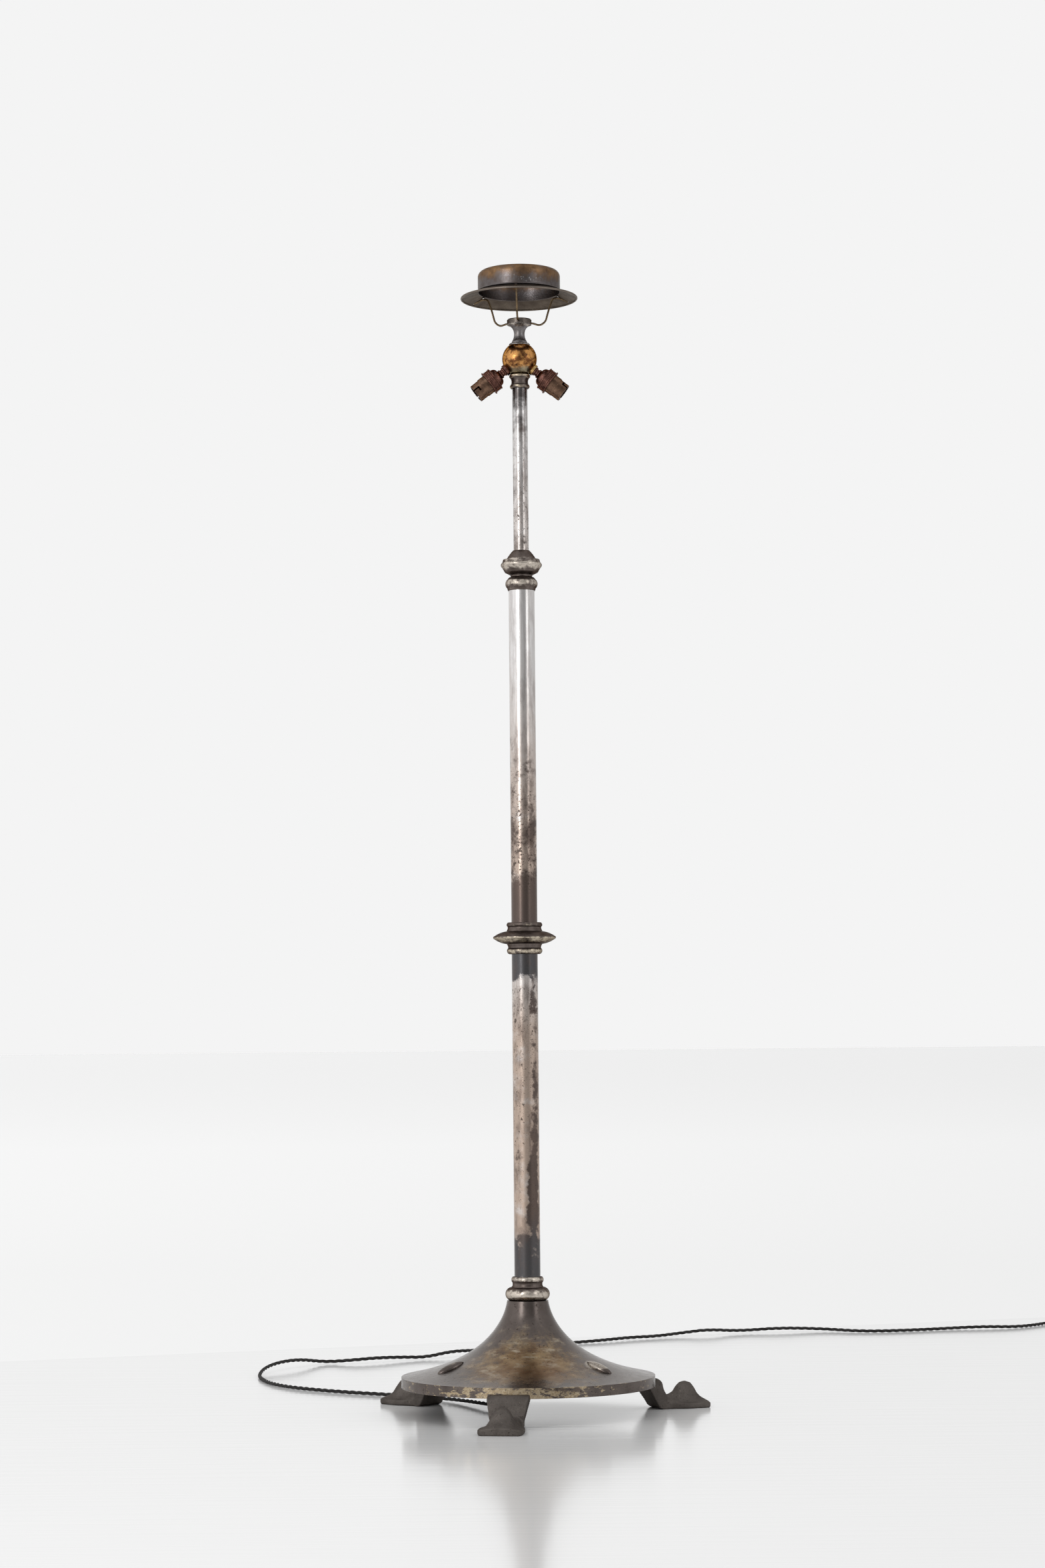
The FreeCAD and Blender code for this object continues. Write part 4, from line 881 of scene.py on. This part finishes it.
nodeFinishes = {
    "lower_column": "lowerSilver", "upper_column": "upperSilver", "stem": "stemSilver",
    "base_shell": "castBase", "foot_1": "castFoot", "foot_2": "castFoot", "foot_3": "castFoot",
    "foot_screws": "plainSteel", "base_collar": "baseCollar", "middle_collar": "middleCollar",
    "column_cap": "columnCap", "clamp_nut": "clampNut", "stem_collar": "stemCollar",
    "cluster_ball": "ball", "ball_neck": "neck", "carrier_hub": "hub", "hub_screw": "plainBrass",
    "carrier_arm_1": "wire", "carrier_arm_2": "wire", "carrier_arm_3": "wire",
    "gallery_crown": "gallery", "gallery_brim": "gallery", "ballast_weight": "castIron",
    "base_spigot": "plainBrass", "base_nut": "plainBrass", "base_washer": "plainSteel",
    "cord_bush": "hardRubber", "strain_relief": "hardRubber", "column_plug": "plainBrass",
    "clamp_collet": "plainBrass", "stem_guide": "plainBrass", "guide_clip": "plainSteel",
    "stem_nipple": "plainBrass", "column_flex": "leadCover", "stem_flex": "leadCover",
    "mains_cord": "leadCover", "plug_cover": "plugBlack", "plug_base": "plugBlack",
    "plug_pins": "plainBrass", "plug_screw": "plainBrass",
}
holderFinishes = {
    "holder_nipple": "redBronze", "holder_cap": "redBronze", "shade_ring": "redBronze",
    "holder_barrel": "barrelBronze", "insulator": "porcelain", "plunger_lower": "plainBrass",
    "plunger_upper": "plainBrass", "plunger_springs": "plainSteel", "holder_leads": "leadCover",
}
for side, ringFinish in (("left", "redBronze"), ("right", "goldBrass")):
    nodeFinishes[side + "_lock_ring"] = ringFinish
    for part, finish in holderFinishes.items():
        nodeFinishes[side + "_" + part] = finish
for name, node in nodes.items():
    node.material_slots[0].material = finishes[nodeFinishes[name]]
twistedFlex.data.materials.append(finishes["braid"])
for piece in castFeet:
    piece.data.materials.clear()
    piece.data.materials.append(finishes["castFoot"])
for piece in holderPieces:
    piece.data.materials.append(finishes["redBronze"])
crownFillet.data.materials.append(finishes["gallery"])
print("CAD nodes finished:", len(nodeFinishes))


# floor and light

room = {
    "wall": (0.905, 0.905, 0.905, 1),
    "fill": (0.93, 0.93, 0.93, 1),      # light from all round
    # what polished metal sees round it, by turn in degrees: 0 the front, 90 the right, 180 the wall
    "reflected": [(-180, 0.666), (-128, 0.80), (-100, 0.78), (-65, 0.88), (-42, 0.97), (-29, 0.92),
                  (-16, 0.60), (-6, 0.38), (8, 0.33), (24, 0.28), (35, 0.34), (47, 0.56), (69, 0.62),
                  (103, 0.54), (132, 0.52), (160, 0.60), (180, 0.666)],
    "windows": 1.36,       # how bright the brightest of it is
    "ceiling": (0.80, 0.80, 0.80, 1),
    "ceilingFrom": (0.6, 0.95),         # how steeply up it begins, as the sine of the angle
    "floorTones": [(0.80, 0.80, 0.80, 1), (0.87, 0.87, 0.87, 1)],      # near, and past the wall line
    "floorRoughness": 0.14,
    "floorRipple": 0.0002,
    "floorEnds": (-40, 90),             # near and far
    "wallLine": [(-40, -14.3), (40, 16.84)],
    # place, width, height, watts; each faces aim
    "softboxes": [((-2.1, -3.0, 1.9), 1.0, 2.2, 22), ((2.6, -2.4, 2.0), 1.0, 2.2, 7)],
    "aim": (0, 0, 0.9),
}


def makeFloor():
    left, right = room["wallLine"]
    near, far = room["floorEnds"]
    floorParts = [
        [(left[0], near), (right[0], near), right, left],
        [left, right, (right[0], far), (left[0], far)],
    ]
    bm = bmesh.new()
    for index, corners in enumerate(floorParts):
        bm.faces.new([bm.verts.new((x, y, 0)) for x, y in corners]).material_index = index
    mesh = bpy.data.meshes.new("floor")
    bm.to_mesh(mesh)
    bm.free()
    floor = bpy.data.objects.new("floor", mesh)
    bpy.context.scene.collection.objects.link(floor)
    for index, colour in enumerate(room["floorTones"]):
        material = bpy.data.materials.new("floorPaint")
        material.use_nodes = True
        tree = material.node_tree
        shader = tree.nodes["Principled BSDF"]
        shader.inputs["Base Color"].default_value = colour
        shader.inputs["Roughness"].default_value = room["floorRoughness"]
        if index == 0:
            dented(tree, shader, clouds(tree, 3, 4, 0.6, stretch=(0.7, 14, 1)), room["floorRipple"], 0.5)
        mesh.materials.append(material)


def makeWorld():
    world = bpy.data.worlds.new("room")
    bpy.context.scene.world = world
    world.use_nodes = True
    tree = world.node_tree
    parts = tree.nodes.new("ShaderNodeSeparateXYZ")
    tree.links.new(tree.nodes.new("ShaderNodeTexCoord").outputs["Generated"], parts.inputs[0])
    rays = tree.nodes.new("ShaderNodeLightPath")
    turn = maths(tree, "ARCTAN2", parts.outputs["X"], maths(tree, "MULTIPLY", parts.outputs["Y"], -1))
    turn = maths(tree, "MULTIPLY", turn, 180 / pi)
    around = maths(tree, "MULTIPLY", zones(tree, turn, room["reflected"]), room["windows"])
    around = layered(tree, between(tree, parts.outputs["Z"], *room["ceilingFrom"]), around, room["ceiling"])
    seen = layered(tree, rays.outputs["Is Glossy Ray"], room["fill"], around)
    seen = layered(tree, rays.outputs["Is Camera Ray"], seen, room["wall"])
    tree.links.new(seen, tree.nodes["Background"].inputs["Color"])


def makeLights():
    for index, (spot, width, height, power) in enumerate(room["softboxes"]):
        data = bpy.data.lights.new("softbox%d" % (index + 1), "AREA")
        data.shape = "RECTANGLE"
        data.size = width
        data.size_y = height
        data.energy = power
        light = bpy.data.objects.new(data.name, data)
        bpy.context.scene.collection.objects.link(light)
        light.location = spot
        towards = Vector(room["aim"]) - Vector(spot)
        light.rotation_euler = towards.to_track_quat("-Z", "Y").to_euler()
        light.visible_camera = False


makeFloor()
makeWorld()
makeLights()
bpy.context.scene.view_settings.view_transform = "Standard"
print("room: floor, world and", len(room["softboxes"]), "softboxes")
